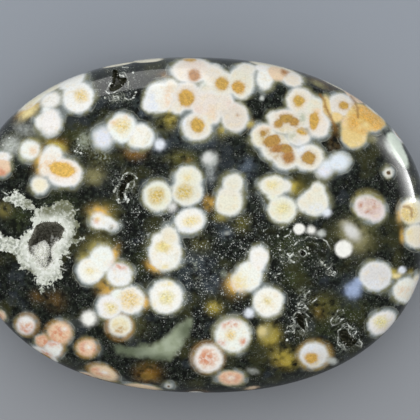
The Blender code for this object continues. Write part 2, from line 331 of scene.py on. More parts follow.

# Whole orbs that lie a little way down, paler and blurred, then painted highlights along the rim and a
# painted reflection
DEEP_ORBS_AND_PAINTED_LIGHT = (
    spots(Tone.BLUISH, "159.5 144.5 7, 249 313 6.2, 402 270 5 4.5, 326.5 212.5 6 5.5", 1.0, 0.9)
    + spots(Tone.PERIWINKLE, "353 290.5 10.5 10, 359 282 7 6", 0.9, 0.9)
    + spots(Tone.GREY, "210 159 11 10.5, 321.5 233.5 6 5, 332 361 8 5 -20, 262 98 3.5", 0.8, 0.9)
    + spots(Tone.GREY, "253 371 9 5 -20, 227 233 5 4, 24 129 16 10 -20", 0.45, 0.9)
    + spots(Tone.GREY, "11 146 13 12, 390 147 13 5 -60", 0.75, 0.9)
    + spots(Tone.BUTTER, "29 112 14 6 38, 396 276 6 4", 0.8, 0.9)
    + spots(Tone.PEARL, "172 207 7 7", 0.8, 0.9)
    + spots(Tone.SAGE, "224 274 5 6, 84 140 9 12, 22 158 6 7", 0.45, 0.9)
    + spots(Tone.KHAKI, "357 238 17 13 -45, 344 224 8 6, 372 139 8 6, 318 84 12 4 -25", 0.65, 0.9)
    + spots(Tone.PEARL, "351.5 231.5 11.5 7 -48, 208 158 5 5", 0.95, 0.9)
    + spots(Tone.WHITE, "89 318.5 9.6", 1.0, 0.9)
    + spots(Tone.PEACH, "252 388 9 2.5 8", 0.7, 0.9)
    + spots(Tone.WHITE, "299 229 5.5, 343.5 249 8.3", 1.0, 0.75)
    + spots(Tone.WHITE, "311 230 5.6", 0.85, 0.9)
    + spots(Tone.CITRON, "269 336 12 12", 0.7, 0.9)
    + spots(Tone.KHAKI, "265 331 10 10", 0.7, 0.9)
    + spots(Tone.BUTTER, "262.5 331.5 5.5, 170 110 4 3", 0.7, 0.9)
    # Painted highlights: thin pale lines along the top rim, where the polished edge mirrors the light
    + spots(Tone.CREAM, "148 60 15 2.6 4, 335 84.5 30 2.4 -27, 375 112 14 3 -42", 0.85, 0.6)
    + spots(Tone.CREAM, "272 66.5 24 2.8 -14, 44 92 16 4 38, 56 85 12 4.5 32, 118 65 16 1.2 10", 0.8, 0.6)
    # Painted reflection: a pale wedge on the right shoulder, in place of a bright reflection that no lamp
    # gives
    + spots(Tone.PAINTED_REFLECTION, "400 153.5 15 5.4 -63, 394.5 140.5 9.5 5.5 -52", 1.0, 0.85)
)

# The white to grey-green crust of the vugs where the polish cuts it, going round its outline
CRUST_OUTLINE = (
    "3 199.5, 8 195, 12 192.5, 16 190, 21 192.5, 25 197, 30 200.5, 34 203, 38 208, 42 208,"
    "46 206, 51 206, 55 202, 61 199.5, 68 201, 73 205, 75 211, 75 217, 79.5 222, 78 227,"
    "72 230, 76 234, 73 238.5, 79 238, 84 237.5, 84.5 239, 78 241.5, 74 245, 70.5 243,"
    "68.5 248, 69.5 253, 62 255.5, 60.5 259, 65 264, 61 266.5, 63 270, 61 274.5, 65 277,"
    "58 278.5, 53 282, 48 284, 44 286, 42 293, 40.5 286, 36.5 283, 33.5 277, 31 271, 26 268,"
    "20 269.5, 18.5 260, 13 254.5, 7 252.5, 3 252.5, -8 251, -8 231, 1 230, 4 236, 12 237,"
    "18 238.5, 23 235, 31 229, 33 222.5, 30.5 218.5, 34 216.5, 34 212, 33 212, 31 208.5,"
    "24.5 208, 20 206, 14.5 206.5, 11 202.5, 3 200.5"
)
# The sage-green crescent's outline, going round
CRESCENT_OUTLINE = (
    "114 345, 117 354, 128 356, 142 357.5, 158 359, 170 360, 176 354, 183 344, 190 333,"
    "193 324, 192 318, 187 319, 181 322, 174 329, 167 336, 160 341, 152 344.5, 143 344,"
    "133 347, 123 346"
)
# The large vug's mouth, its lower right wall, which gets painted light, and the white lump in it, going round
HOLLOW_OUTLINE = (
    "36 225.5, 40 223.3, 45 222, 51 222, 56.5 222, 61 225, 65 228.6, 62.6 233.5, 62 237.5,"
    "58.5 241.5, 55.5 246.5, 53.7 250.5, 53.2 254.5, 55 260, 54.2 263.5, 51 266.3, 50.2 269,"
    "46 270.6, 41.5 269.6, 38 265, 34 259.5, 29.5 254.5, 27.2 248.5, 28.3 242, 31 237, 33.5 231"
)
LIT_WALL_OUTLINE = "50 236, 58 238, 56 246, 54 255, 55 262, 51 267, 46 270, 43 268, 46 262, 49 254, 50 246"
LUMP_OUTLINE = (
    "32 247, 36 246, 39.5 243.5, 44 241.5, 47 245, 48.5 249, 48 254, 46 258, 45.5 262, 44.5 265,"
    "40.5 263.5, 36.5 258, 33.5 252.5"
)
# The pale crystal-lined threads, the brown veins and the bright specks, parted by semicolons
THREADS = (
    "117 67, 120 66, 123 67.5, 128 67.5; 122 73, 124.5 72.5, 126 75, 127.5 79, 128.5 82, 128 88;"
    "105.5 91, 109 93.5, 114 92.5, 118 90.5, 122 87.5; 110 83.5, 108.5 87; 112 96, 115 96.5, 118 96;"
    "108.5 97, 109.5 100.5, 113 100.5, 117 101, 119.5 98; 124 94, 125 98, 128 100, 132 99, 134 97;"
    "121.5 179, 123.5 174.5, 128 172.5, 131 173; 135 175.5, 136.5 178; 116 186.5, 118.5 186.5;"
    "117 193, 117 197, 118.5 199.5; 116.5 200, 119 203, 123 202, 125 201; 134 181, 134.5 184.5, 133 187;"
    "299 250.5, 302 249.3, 306.5 252, 306.5 254.5, 304 256.8, 301 256, 299.8 253.5, 299 250.5;"
    "273 276, 277 278.5; 277 274.5, 281 273; 284 237.5, 286 236, 289.5 234.5, 291 231;"
    "294 245.5, 296.5 243, 298.5 240, 300 241.5; 305 239, 308 236.5, 310 236.5, 312 238, 315 237.5;"
    "316 238.5, 319 238.5, 322 238, 324 240, 327 242, 329 246, 330.5 248.5; 290 259, 292 262, 297 262;"
    "320 261, 322 264, 326 267, 328 269, 331 266.5, 332 263.5; 281 261, 283 264, 284.5 263;"
    "330.5 272, 331 275, 334 276, 336 274, 334.5 271.5, 332 271; 326 271, 326 274, 328.5 275;"
    "310 290.5, 305 295.5, 304 296.5, 306 298, 305 300; 312 302.5, 314.5 300.5, 317 299;"
    "298 303, 298.5 306, 297 308, 300 308.5, 303 308; 301 302, 304 303, 305.5 306.5, 308 309.5;"
    "309 317, 306 314, 304 311.5, 300 312.5, 296.5 312, 294 315, 292.5 319, 295 322, 295.5 325,"
    "299 326, 302 328, 304 331; 305.5 319, 306.5 323, 307.5 328; 300 333.5, 303 335.5, 305 332;"
    "287 328, 288 325.5, 291 326, 295 326; 285 333, 287 331, 291 331.5, 294 333, 294.5 328, 292 328;"
    "338 310, 336 315, 333 317.5, 330.5 321, 332 325.5, 336 324.5, 340 323, 341 319, 345 319;"
    "343 310, 344 313; 342 324, 342.5 327, 340 329.5; 347 323, 350 327, 353 328.5, 356 329,"
    "356.5 332, 353 337, 349 333, 348 328; 338 331, 338.5 336, 337.5 340, 338 344, 341 347, 345 350;"
    "343 344, 345 348, 347 350; 349 345, 350.5 343.5; 355 344, 358 346; 359 340, 362 343, 361 348;"
    "176 350, 179 350.5, 180.5 353, 178 355.5, 175.5 353.5, 176 350; 279 229, 282 228.5, 283 226.5;"
    "42.5 281, 42 287, 41.5 294; 51 279, 53 285, 54.5 291; 46 281, 48 288; 68 242, 76 240, 84.5 238.5;"
    "66 256, 70 258; 60 268, 66 270; 30 270, 27 274; 74 212, 79 209; 8 195, 2 191"
)
VEINS = (
    "320 95, 324.5 100, 325.5 106, 328 112, 331 118, 334 124; 351 97, 355 102, 357.5 108, 358 117;"
    "404 206.5, 408.5 206.5, 411.5 210, 411.5 216"
)
SPARKS = (
    "123.5 76; 119.8 75; 133 72.5; 110.3 83.5; 113.5 96.5; 135.8 92.3; 133.5 97.5; 105 98;"
    "78 139; 79 145; 75 151; 81 153; 9.5 138; 3 145; 128.5 184, 127.5 187, 126 188; 136.5 178;"
    "115.5 188.5; 114 191.5; 118.5 199.5; 125 194, 125.5 198.5; 128.5 199, 127.5 202; 287 340;"
    "288 254; 290 257; 293 254; 294 262; 307.5 247.5; 309 253.5; 322 262; 325 265; 280 250; 278 236"
)
# The mouths of the small vugs and their depths, in millimetres
SMALL_MOUTHS = (
    (
        "113 69.5, 117.5 70, 119 74, 120 78, 123 77.5, 126.5 77.5, 127.3 80, 125 84, 121.5 87.5,"
        "117 90, 112 92, 109 90, 109.5 86, 112.5 82, 112 77",
        1.7,
    ),
    (
        "126 175, 130 174.5, 134 176, 133.5 179, 130 181.5, 127 183.5, 126 187.5, 124.5 190,"
        "123.5 194, 123 199, 121.5 200, 119.5 198, 120 193, 119 189, 121 185, 123 182, 124.5 178",
        1.5,
    ),
    ("299.8 251.5, 302 250.3, 305.6 252.3, 305.8 254.6, 303.8 256, 301.2 255.4", 0.9),
    (
        "295.5 315, 299 313, 303.5 313.5, 305 317, 303.5 321, 304.5 326, 305 330, 302.5 329,"
        "299.5 325.5, 297 322, 296 318.5",
        1.4,
    ),
    (
        "340 331, 343.5 329.5, 347.5 330.5, 350 335, 354 338.5, 357.5 341, 355 344.5, 350 347,"
        "345.5 345.5, 341.5 342, 339.3 337",
        1.5,
    ),
)
# How densely the white specks lie
DUST = (
    spots(Tone.WHITE, "215 275 60 60, 150 240 40, 260 240 60 40, 8 148 16, 78 147 8, 290 255 18 14", 1.0, 0.9)
    + spots(Tone.WHITE, "118 84 22, 122 187 11 16, 300 315 20 26, 346 334 18, 200 250 90 70", 0.8, 0.9)
)
# Frosted places, where minute crystals show as a pale mottling
FROST = (
    spots(Tone.GREY, "9 147 15 12, 84 141 9 11, 80 150 8 7, 103 157 12 6 -30, 289 256 10 8", 1.0, 0.9)
    + spots(
        Tone.GREY,
        "323 264 6 5, 340 349 7 5, 303 294 7 7, 335 318 6 6, 195 265 4 8 20, 118 99 12 5",
        0.8,
        0.9,
    )
    + spots(Tone.GREY, "198 280 4 8 -15, 202 291 4 4, 300 328 9 8, 350 343 8 5, 124 186 12 18", 0.5, 0.9)
)
# Where the crescent is darker, and where the crust is mossy
CRESCENT_SHADE = spots(Tone.MOSS, "126 351 26 14, 186 330 9 14, 160 358 18 5", 0.9, 0.9)
CRUST_MOSS = spots(
    Tone.OLIVE,
    "60 206 19 10, 74 212 8 12, 78 226 5 11, 75 240 8 6, 28 204 6 5, 28 272 9 5, 47 211 10 6, 70 206 10 8",
    1.0,
    0.9,
)


def outline(text: str) -> np.ndarray:
    """Read the corners of an outline or a thread, "x y" for each, in photo pixels."""
    return np.array([[float(word) for word in pair.split()] for pair in text.split(",")])


def signed_distance(flat: np.ndarray, corners: np.ndarray) -> np.ndarray:
    """How far inside an outline points of a plane are.

    Args:
        flat: the points.
        corners: the outline's corners, going round, in the same plane.

    Returns:
        The distance, negative outside.
    """
    nearest = np.full(len(flat), np.inf)
    inside = np.zeros(len(flat), dtype=bool)
    for start, end in zip(corners, np.roll(corners, -1, axis=0)):
        run = end - start
        share = np.clip((flat - start) @ run / (run @ run), 0, 1)
        nearest = np.minimum(nearest, np.linalg.norm(flat - start - share[:, None] * run, axis=1))
        crosses = (start[1] > flat[:, 1]) != (end[1] > flat[:, 1])
        if run[1] != 0:
            inside ^= crosses & (flat[:, 0] < start[0] + (flat[:, 1] - start[1]) * run[0] / run[1])
    return np.where(inside, nearest, -nearest)


@dataclass(frozen=True)
class Pebble:
    """The stone's form: an oval outline, swept down a section with round shoulders.

    Its sizes are those of the solid that this stone replaces.
    """

    length: float = 70.0
    width: float = 51.2
    outline_power: float = 2.22
    section_power: float = 2.6
    equator: float = 8.8
    front_rise: float = 9.8
    back_drop: float = 8.9

    def radius_share(self, x: np.ndarray, y: np.ndarray) -> np.ndarray:
        """How far out points of the plan lie, from 0 in the middle to 1 on the outline."""
        power = self.outline_power
        across = np.abs(2 * x / self.length) ** power + np.abs(2 * y / self.width) ** power
        return across ** (1 / power)

    def rim(self, turn: np.ndarray | float) -> np.ndarray:
        """Points of the outline, x and y, at turns round it in radians."""
        power = 2 / self.outline_power
        along, across = np.cos(turn), np.sin(turn)
        x = self.length / 2 * np.sign(along) * np.abs(along) ** power
        y = self.width / 2 * np.sign(across) * np.abs(across) ** power
        return np.array([x, y])

    def front_height(self, x: np.ndarray, y: np.ndarray) -> np.ndarray:
        """Height of the front face over points of the plan."""
        share = np.minimum(self.radius_share(x, y), 1.0)
        power = self.section_power
        return self.equator + self.front_rise * (1 - share**power) ** (1 / power)

    def normal(self, point: np.ndarray) -> np.ndarray:
        """The outward normal at a point of the surface."""
        x, y, z = (float(v) for v in point)
        power, lift = self.outline_power, self.section_power
        share = max(float(self.radius_share(x, y)), 1e-6)
        rise = self.front_rise if z >= self.equator else self.back_drop
        steep = share ** (lift - power)
        along = np.array(
            [
                steep * math.copysign(abs(2 * x / self.length) ** (power - 1), x) * 2 / self.length,
                steep * math.copysign(abs(2 * y / self.width) ** (power - 1), y) * 2 / self.width,
                math.copysign((abs(z - self.equator) / rise) ** (lift - 1), z - self.equator) / rise,
            ]
        )
        return along / np.linalg.norm(along)


@dataclass(frozen=True)
class PhotoView:
    """How the photo sees the stone, and the camera that sees it in the same way."""

    frame_px: float = 420.0
    middle_x: float = 197.8
    middle_y: float = 224.8
    turn: float = math.radians(1.27)
    mm_per_px: float = 0.1527
    distance: float = 1000.0
    sensor_mm: float = 36.0

    def level_plan(self, x: float, y: float) -> np.ndarray:
        """The point of the stone's widest level that a photo pixel shows, in millimetres."""
        right, down = x - self.middle_x, y - self.middle_y
        along = right * math.cos(self.turn) + down * math.sin(self.turn)
        across = -right * math.sin(self.turn) + down * math.cos(self.turn)
        return np.array([along, -across]) * self.mm_per_px

    def on_stone(self, stone: Pebble, x: float, y: float) -> np.ndarray:
        """The point of the stone's front face that a photo pixel shows, in millimetres."""
        level = self.level_plan(x, y)
        eye = self.level_plan(self.frame_px / 2, self.frame_px / 2)
        plan = level
        for _ in range(3):
            height = float(stone.front_height(*plan)) - stone.equator
            plan = level + (eye - level) * height / self.distance
        return np.array([*plan, stone.equator + height])

    def plan_outline(self, stone: Pebble, text: str) -> np.ndarray:
        """An outline's corners on the stone's front face, seen from above, in millimetres."""
        return np.array([self.on_stone(stone, x, y)[:2] for x, y in outline(text)])

    def camera(self, stone: Pebble) -> None:
        """Make the scene's camera, looking straight down on the front face of the stone."""
        lens = bpy.data.cameras.new("photo_camera")
        lens.sensor_width = self.sensor_mm
        lens.lens = self.sensor_mm * self.distance / (self.frame_px * self.mm_per_px)
        lens.clip_start = 0.05
        lens.clip_end = 20.0
        camera = bpy.data.objects.new("photo_camera", lens)
        eye = self.level_plan(self.frame_px / 2, self.frame_px / 2)
        camera.location = Vector((eye[0], eye[1], stone.equator + self.distance)) * MM
        camera.rotation_euler = (0.0, 0.0, self.turn)
        bpy.context.scene.collection.objects.link(camera)
        bpy.context.scene.camera = camera


def add_node(
    tree: bpy.types.NodeTree, kind: str, settings: dict | None = None, inputs: dict | None = None
) -> bpy.types.Node:
    """Add a node of any type to a tree.

    Args:
        tree: the tree.
        kind: the node's type.
        settings: its own settings, made first.
        inputs: numbers or links for its sockets, by name or number.

    Returns:
        The node.
    """
    made = tree.nodes.new(kind)
    for key, setting in (settings or {}).items():
        setattr(made, key, setting)
    for key, given in (inputs or {}).items():
        if isinstance(given, Socket):
            tree.links.new(given, made.inputs[key])
        else:
            made.inputs[key].default_value = given
    return made


@dataclass(frozen=True)
class Value:
    """A number socket of a shader, on which Python's operators add Math nodes."""

    shade: "Shade"
    socket: Socket

    def math(self, operation: str, *others: "Value | float") -> "Value":
        """Join this value and others with one Math node.

        Args:
            operation: the Math node's operation.
            others: the values or numbers that follow this one in its sockets.

        Returns:
            The node's result.
        """
        inputs = dict(enumerate((self, *others)))
        return self.shade.value("ShaderNodeMath", {"operation": operation}, inputs)

    def __add__(self, other: "Value | float") -> "Value":
        """This value plus another."""
        return self.math("ADD", other)

    __radd__ = __add__

    def __mul__(self, other: "Value | float") -> "Value":
        """This value times another."""
        return self.math("MULTIPLY", other)

    __rmul__ = __mul__

    def __sub__(self, other: "Value | float") -> "Value":
        """This value less another."""
        return self.math("SUBTRACT", other)

    def __rsub__(self, other: float) -> "Value":
        """A number less this value."""
        return self * -1.0 + other

    def __abs__(self) -> "Value":
        """This value's size."""
        return self.math("ABSOLUTE")

    def at_most(self, other: "Value | float") -> "Value":
        """The lower of this value and another."""
        return self.math("MINIMUM", other)

    def at_least(self, other: "Value | float") -> "Value":
        """The higher of this value and another."""
        return self.math("MAXIMUM", other)

    def above(self, low: float, high: float) -> "Value":
        """A soft step: 0 at low, 1 at high, either way round.

        Args:
            low: the value that gives 0.
            high: the value that gives 1.

        Returns:
            The step's value.
        """
        if high > low:
            return self.shade.step(self, low, high)
        return 1 - self.shade.step(self, high, low)


@dataclass
class Shade:
    """A material under construction: its node tree, and the ways to add nodes to it.

    Args:
        name: of the material.
    """

    name: str
    material: bpy.types.Material = field(init=False)
    tree: bpy.types.NodeTree = field(init=False)
    place: Socket = field(init=False)

    def __post_init__(self) -> None:
        """Start the tree with its place, the object's coordinates in millimetres."""
        self.material = bpy.data.materials.new(self.name)
        self.material.use_nodes = True
        self.tree = self.material.node_tree
        self.tree.nodes.clear()
        self.place = self.scaled(self.node("ShaderNodeTexCoord").outputs["Object"], 1 / MM)

    def node(self, kind: str, settings: dict | None = None, inputs: dict | None = None) -> bpy.types.Node:
        """Add a node of any type, whose inputs may be values too."""
        given = {key: v.socket if isinstance(v, Value) else v for key, v in (inputs or {}).items()}
        return add_node(self.tree, kind, settings, given)

    def value(self, kind: str, settings: dict | None, inputs: dict, output: int | str = 0) -> Value:
        """Add a node and take one of its outputs as a value."""
        return Value(self, self.node(kind, settings, inputs).outputs[output])

    def step(self, value: Value, low: Value | float, high: Value | float) -> Value:
        """A soft step from 0 at low to 1 at high, where both may vary over the surface."""
        settings = {"interpolation_type": "SMOOTHSTEP"}
        return self.value("ShaderNodeMapRange", settings, {0: value, 1: low, 2: high})

    def scaled(self, vector: Socket, amount: Value | float) -> Socket:
        """A vector or a colour times a value or a number."""
        inputs = {0: vector, "Scale": amount}
        return self.node("ShaderNodeVectorMath", {"operation": "SCALE"}, inputs).outputs[0]

    def sum(self, first: Socket, second: Socket) -> Socket:
        """The sum of two vectors."""
        return self.node("ShaderNodeVectorMath", {"operation": "ADD"}, {0: first, 1: second}).outputs[0]

    def noise(self, scale: float, detail: float = 2.0, vector: Socket | None = None) -> Value:
        """Smooth noise about 0.5, at so many lumps a unit of the place or another vector."""
        inputs = {"Vector": self.place if vector is None else vector, "Scale": scale, "Detail": detail}
        return self.value("ShaderNodeTexNoise", None, inputs)

    def jitter(self, amount: float, scale: float, detail: float = 2.0) -> Value:
        """Noise about 0 that swings by an amount, at so many lumps a millimetre."""
        return (self.noise(scale, detail) - 0.5) * amount

    def cells(self, scale: float, feature: str = "F1", vector: Socket | None = None) -> bpy.types.Node:
        """A Voronoi pattern, at so many cells a unit of the place or another vector."""
        inputs = {"Vector": self.place if vector is None else vector, "Scale": scale}
        return self.node("ShaderNodeTexVoronoi", {"feature": feature}, inputs)

    def channel(self, colour: Socket, number: int = 0) -> Value:
        """The red, green or blue of a colour, for the number 0, 1 or 2."""
        return self.value("ShaderNodeSeparateColor", None, {0: colour}, number)

    def attribute(self, name: str) -> bpy.types.Node:
        """A field that the mesh carries."""
        return self.node("ShaderNodeAttribute", {"attribute_name": name})

    def number(self, name: str) -> Value:
        """A number field that the mesh carries."""
        return Value(self, self.attribute(name).outputs["Fac"])

    def layer(self, name: str) -> tuple[Socket, Value]:
        """The colour and the cover of a layer of marks that the mesh carries."""
        outputs = self.attribute(name).outputs
        return outputs["Color"], Value(self, outputs["Alpha"])

    def mix(
        self, share: Value | float, first: Socket | TRIPLE, second: Socket | TRIPLE, blend: str = "MIX"
    ) -> Socket:
        """Mix two colours.

        Args:
            share: how much of the second shows.
            first: the colour below.
            second: the colour above.
            blend: the Mix node's way of mixing.

        Returns:
            The mixed colour's socket.
        """
        below, above = [(*c, 1.0) if isinstance(c, tuple) else c for c in (first, second)]
        settings = {"data_type": "RGBA", "blend_type": blend}
        return self.node("ShaderNodeMix", settings, {0: share, 6: below, 7: above}).outputs[2]

    def principled(self, inputs: dict) -> bpy.types.Material:
        """End the tree in a Principled shader.

        Args:
            inputs: the shader's values or links, by name.

        Returns:
            The finished material.
        """
        shader = self.node("ShaderNodeBsdfPrincipled", None, inputs)
        self.node("ShaderNodeOutputMaterial", None, {"Surface": shader.outputs[0]})
        return self.material


@dataclass
class JasperFinish(Shade):
    """The polished stone. Most of its methods lay one kind of mark over the colour below it.

    A distance to an edge is positive inside the mark.

    Args:
        haze: how much of a second, blurred gloss lies over the polish.
        orb_waver, eye_waver: how uneven the edges of the orbs and the eyes are.
        speck_kinds: for each size of speck, its cells a millimetre, the share of them that are
            empty, and its strength.
    """

    name: str = "polished_jasper_finish"
    roughness: float = 0.06
    ior: float = 1.54
    haze: float = 0.35
    haze_roughness: float = 0.24
    orb_waver: float = 0.5
    eye_waver: float = 0.6
    speck_kinds: tuple[TRIPLE, ...] = ((1.7, 0.62, 1.0), (3.1, 0.55, 0.95), (4.6, 0.5, 0.8))
    ground_dark: TRIPLE = linear(22, 24, 22)
    ground_green: TRIPLE = linear(40, 46, 38)
    ground_olive: TRIPLE = linear(66, 66, 36)
    ground_blue: TRIPLE = linear(52, 58, 64)
    halo_warm: TRIPLE = linear(132, 132, 102)
    halo_cool: TRIPLE = linear(146, 154, 152)
    halo_line: TRIPLE = linear(186, 188, 172)
    grit_grey: TRIPLE = linear(104, 110, 112)
    frost_grey: TRIPLE = linear(150, 156, 142)
    speck_white: TRIPLE = linear(222, 225, 218)
    body_warm: TRIPLE = linear(240, 222, 186)
    body_cool: TRIPLE = linear(236, 241, 243)
    body_rim: TRIPLE = linear(206, 213, 220)
    seam_grey: TRIPLE = linear(176, 172, 158)
    eye_rim: TRIPLE = linear(200, 160, 110)
    vein_brown: TRIPLE = linear(150, 104, 48)
    thread_dull: TRIPLE = linear(176, 178, 166)
    thread_bright: TRIPLE = linear(222, 226, 220)
    thread_glow: TRIPLE = linear(120, 124, 112)
    crescent_deep: TRIPLE = linear(146, 156, 128)
    crescent_pale: TRIPLE = linear(172, 181, 158)
    crescent_dim: TRIPLE = linear(100, 110, 86)
    crust_white: TRIPLE = linear(240, 242, 235)
    crust_grey: TRIPLE = linear(204, 208, 194)
    crust_gap: TRIPLE = linear(118, 124, 106)
    crust_moss: TRIPLE = linear(106, 108, 78)

    def make(self) -> bpy.types.Material:
        """Make the material, from the ground up."""
        orb = self.waver(self.number("orb"), self.orb_waver)
        blur = self.number("blur")
        orb_mask = self.step(orb, 0.12 - blur * 2.0, blur * 3.3)

        colour = self.glows(self.ground())
        colour = self.halos(orb, colour)
        colour = self.fringes(orb, colour)
        colour = self.sunk_orbs_and_painted_light(colour)
        colour = self.dust(colour)
        colour = self.mix(orb_mask, colour, self.orb_bodies(orb))
        colour = self.eyes(orb_mask, colour)
        colour = self.threads(colour)
        colour = self.crescent(colour)
        colour = self.crust(colour)
        inputs = {"Base Color": colour, "Roughness": self.roughness, "IOR": self.ior}
        return self.principled(inputs | {"Coat Weight": self.haze, "Coat Roughness": self.haze_roughness})

    def waver(self, edge: Value, amount: float) -> Value:
        """A distance to an edge, made uneven by three sizes of noise."""
        edge = edge + self.jitter(amount, 0.55)
        return edge + self.jitter(amount * 0.7, 1.5) + self.jitter(amount * 0.35, 4.0)

    def ground(self) -> Socket:
        """The dark green-black chalcedony between the orbs, with its olive and bluish clouds."""
        colour = self.mix(self.noise(1.6, 8.0).above(0.38, 0.66), self.ground_dark, self.ground_green)
        colour = self.mix(self.noise(0.22, 3.0).above(0.5, 0.68) * 0.6, colour, self.ground_olive)
        elsewhere = self.node("ShaderNodeMapping", None, {"Vector": self.place, "Location": (31.0, 7.0, 3.0)})
        cloud = self.noise(0.3, 3.0, elsewhere.outputs[0]).above(0.55, 0.7)
        return self.mix(cloud * 0.6, colour, self.ground_blue)

    def glows(self, below: Socket) -> Socket:
        """What shines up from below the surface, in clouds."""
        tint, cover = self.layer("deep")
        cloud = self.noise(0.8, 5.0).above(0.25, 0.6)
        return self.mix(cover * cloud, below, tint)

    def halos(self, orb: Value, below: Socket) -> Socket:
        """The thin see-through skin round each orb, and its faint outer line.

        Args:
            orb: the distance to the nearest orb's edge.
            below: the colour below.

        Returns:
            The colour with the halos.
        """
        vary = self.noise(0.5, 3.0)
        wide = self.noise(0.33).above(0.3, 0.7)
        near = self.step(orb, -0.55 - wide, 0.14)
        skin = near * near * (0.75 + 0.5 * vary).at_most(1.0)
        line = abs(orb + 0.5).above(0.12, 0.02) * vary.above(0.42, 0.62) * 0.25
        hue = self.mix(vary.above(0.42, 0.58), self.halo_warm, self.halo_cool)
        return self.mix(line, self.mix(skin, below, hue), self.halo_line)

    def fringes(self, orb: Value, below: Socket) -> Socket:
        """The warm fringes beside the orbs, which darken away from them.

        Args:
            orb: the distance to the nearest orb's edge.
            below: the colour below.

        Returns:
            The colour with the fringes.
        """
        tint, cover = self.layer("fringe")
        worn = self.noise(0.9, 5.0).above(0.2, 0.55)
        warm = self.scaled(tint, 0.72 + 0.75 * self.step(orb, -1.1, 0.15))
        return self.mix(cover * worn, below, warm)

    def sunk_orbs_and_painted_light(self, below: Socket) -> Socket:
        """The sunk orbs, blurred and mottled, and the painted highlights and painted reflection that share
        their layer.
        """
        tint, cover = self.layer("sunk")
        mottle = self.noise(1.8, 6.0)
        there = (cover + (mottle - 0.5) * 0.4).above(0.06, 0.9)
        return self.mix(there, below, self.scaled(tint, 0.86 + 0.28 * mottle))

    def dust(self, below: Socket) -> Socket:
        """Grey grit, frosted places and white specks, scattered unevenly in the dark ground.

        Args:
            below: the colour below.

        Returns:
            The colour with the dust.
        """
        amount = self.number("dust") * self.noise(0.8, 4.0).above(0.36, 0.6)
        grit = self.noise(3.4, 6.0).above(0.5, 0.72) * amount * 0.5
        colour = self.mix(grit, below, self.grit_grey)
        rime = self.number("frost") * self.noise(2.9, 8.0).above(0.46, 0.64)
        colour = self.mix(rime * 0.8, colour, self.frost_grey)
        for scale, empty, strength in self.speck_kinds:
            cells = self.cells(scale)
            draw, bright = (self.channel(cells.outputs["Color"], number) for number in (0, 1))
            size = Value(self, cells.outputs["Distance"])
            reach = (0.12 + 0.30 * (draw - empty).at_least(0.0)) * (0.5 + scale * 0.35)
            speck = (1 - self.step(size, reach * 0.55, reach)) * draw.above(empty, empty + 0.03)
            cover = speck * amount * (strength * (0.25 + 0.75 * bright))
            colour = self.mix(cover, colour, self.speck_white)
        return colour

    def orb_bodies(self, orb: Value) -> Socket:
        """The orbs' white to salmon chalcedony, mottled and finely rayed.

        Args:
            orb: the distance to the nearest orb's edge.

        Returns:
            The colour.
        """
        tone = self.attribute("body").outputs["Color"]
        white = self.channel(tone, 2)
        colour = self.mix(self.noise(1.1, 5.0).above(0.46, 0.7) * 0.4, tone, self.body_warm)

        patch, cover = self.layer("patch")
        wall = Value(self, self.cells(1.15, "DISTANCE_TO_EDGE").outputs["Distance"])
        comb = (wall.above(0.02, 0.14) + white.above(0.38, 0.46)).at_most(1.0)
        blotch = (0.3 + 0.7 * self.noise(1.5, 5.0).above(0.36, 0.6)) * (0.35 + 0.65 * comb)
        colour = self.mix(cover * blotch, colour, patch)

        spoke = self.attribute("spoke").outputs["Vector"]
        ray = self.node("ShaderNodeVectorMath", {"operation": "NORMALIZE"}, {0: spoke}).outputs[0]
        fibres = self.noise(1.0, 3.0, self.sum(self.scaled(ray, 6.0), self.scaled(spoke, 1.5)))
        grain = self.noise(3.6, 5.0)
        colour = self.scaled(colour, 0.90 + 0.06 * fibres.above(0.25, 0.7) + 0.10 * grain.above(0.3, 0.62))

        seam = self.number("seam").above(0.16, 0.02) * self.noise(1.1).above(0.4, 0.65) * 0.2
        colour = self.mix(seam, colour, self.seam_grey)
        pale = white.above(0.48, 0.62)
        colour = self.mix(orb.above(1.0, 0.15) * pale * 0.5, colour, self.body_cool)
        return self.mix(orb.above(0.4, 0.0) * (0.1 + 0.15 * pale), colour, self.body_rim)

    def eyes(self, orb_mask: Value, below: Socket) -> Socket:
        """The granular yellow and brown eyes.

        Args:
            orb_mask: how much of an orb there is.
            below: the colour below.

        Returns:
            The colour with the eyes.
        """
        edge = self.waver(self.number("eye"), self.eye_waver)
        soft = self.number("eye_blur")
        draw = self.channel(self.cells(4.2).outputs["Color"])
        colour = self.scaled(self.attribute("eye_tone").outputs["Color"], 0.8 + 0.38 * draw)
        darker = self.mix(edge.above(0.4, 0.1) * 0.3, colour, self.eye_rim, "MULTIPLY")
        colour = self.mix(soft.above(0.5, 0.2), colour, darker)
        fringed = self.mix(edge.above(-0.6, 0.1) * 0.22 * orb_mask, below, colour)
        flecks = 0.45 + 0.55 * self.noise(2.9, 6.0).above(0.42, 0.58)
        even = (0.75 - soft).above(0.0, 0.12)
        mask = self.step(edge, soft * -0.45 - 0.02, soft * 0.8) * flecks.at_least(even)
        return self.mix(mask * orb_mask * 0.95, fringed, colour)

    def nearness(self, name: str) -> tuple[Value, Value]:
        """The distance to the nearest line of that name, and whether it can be trusted."""
        way = self.attribute(f"{name}_way").outputs["Vector"]
        length = self.value("ShaderNodeVectorMath", {"operation": "LENGTH"}, {0: way}, "Value")
        return length, self.number(f"{name}_gap").above(0.5, 0.36)

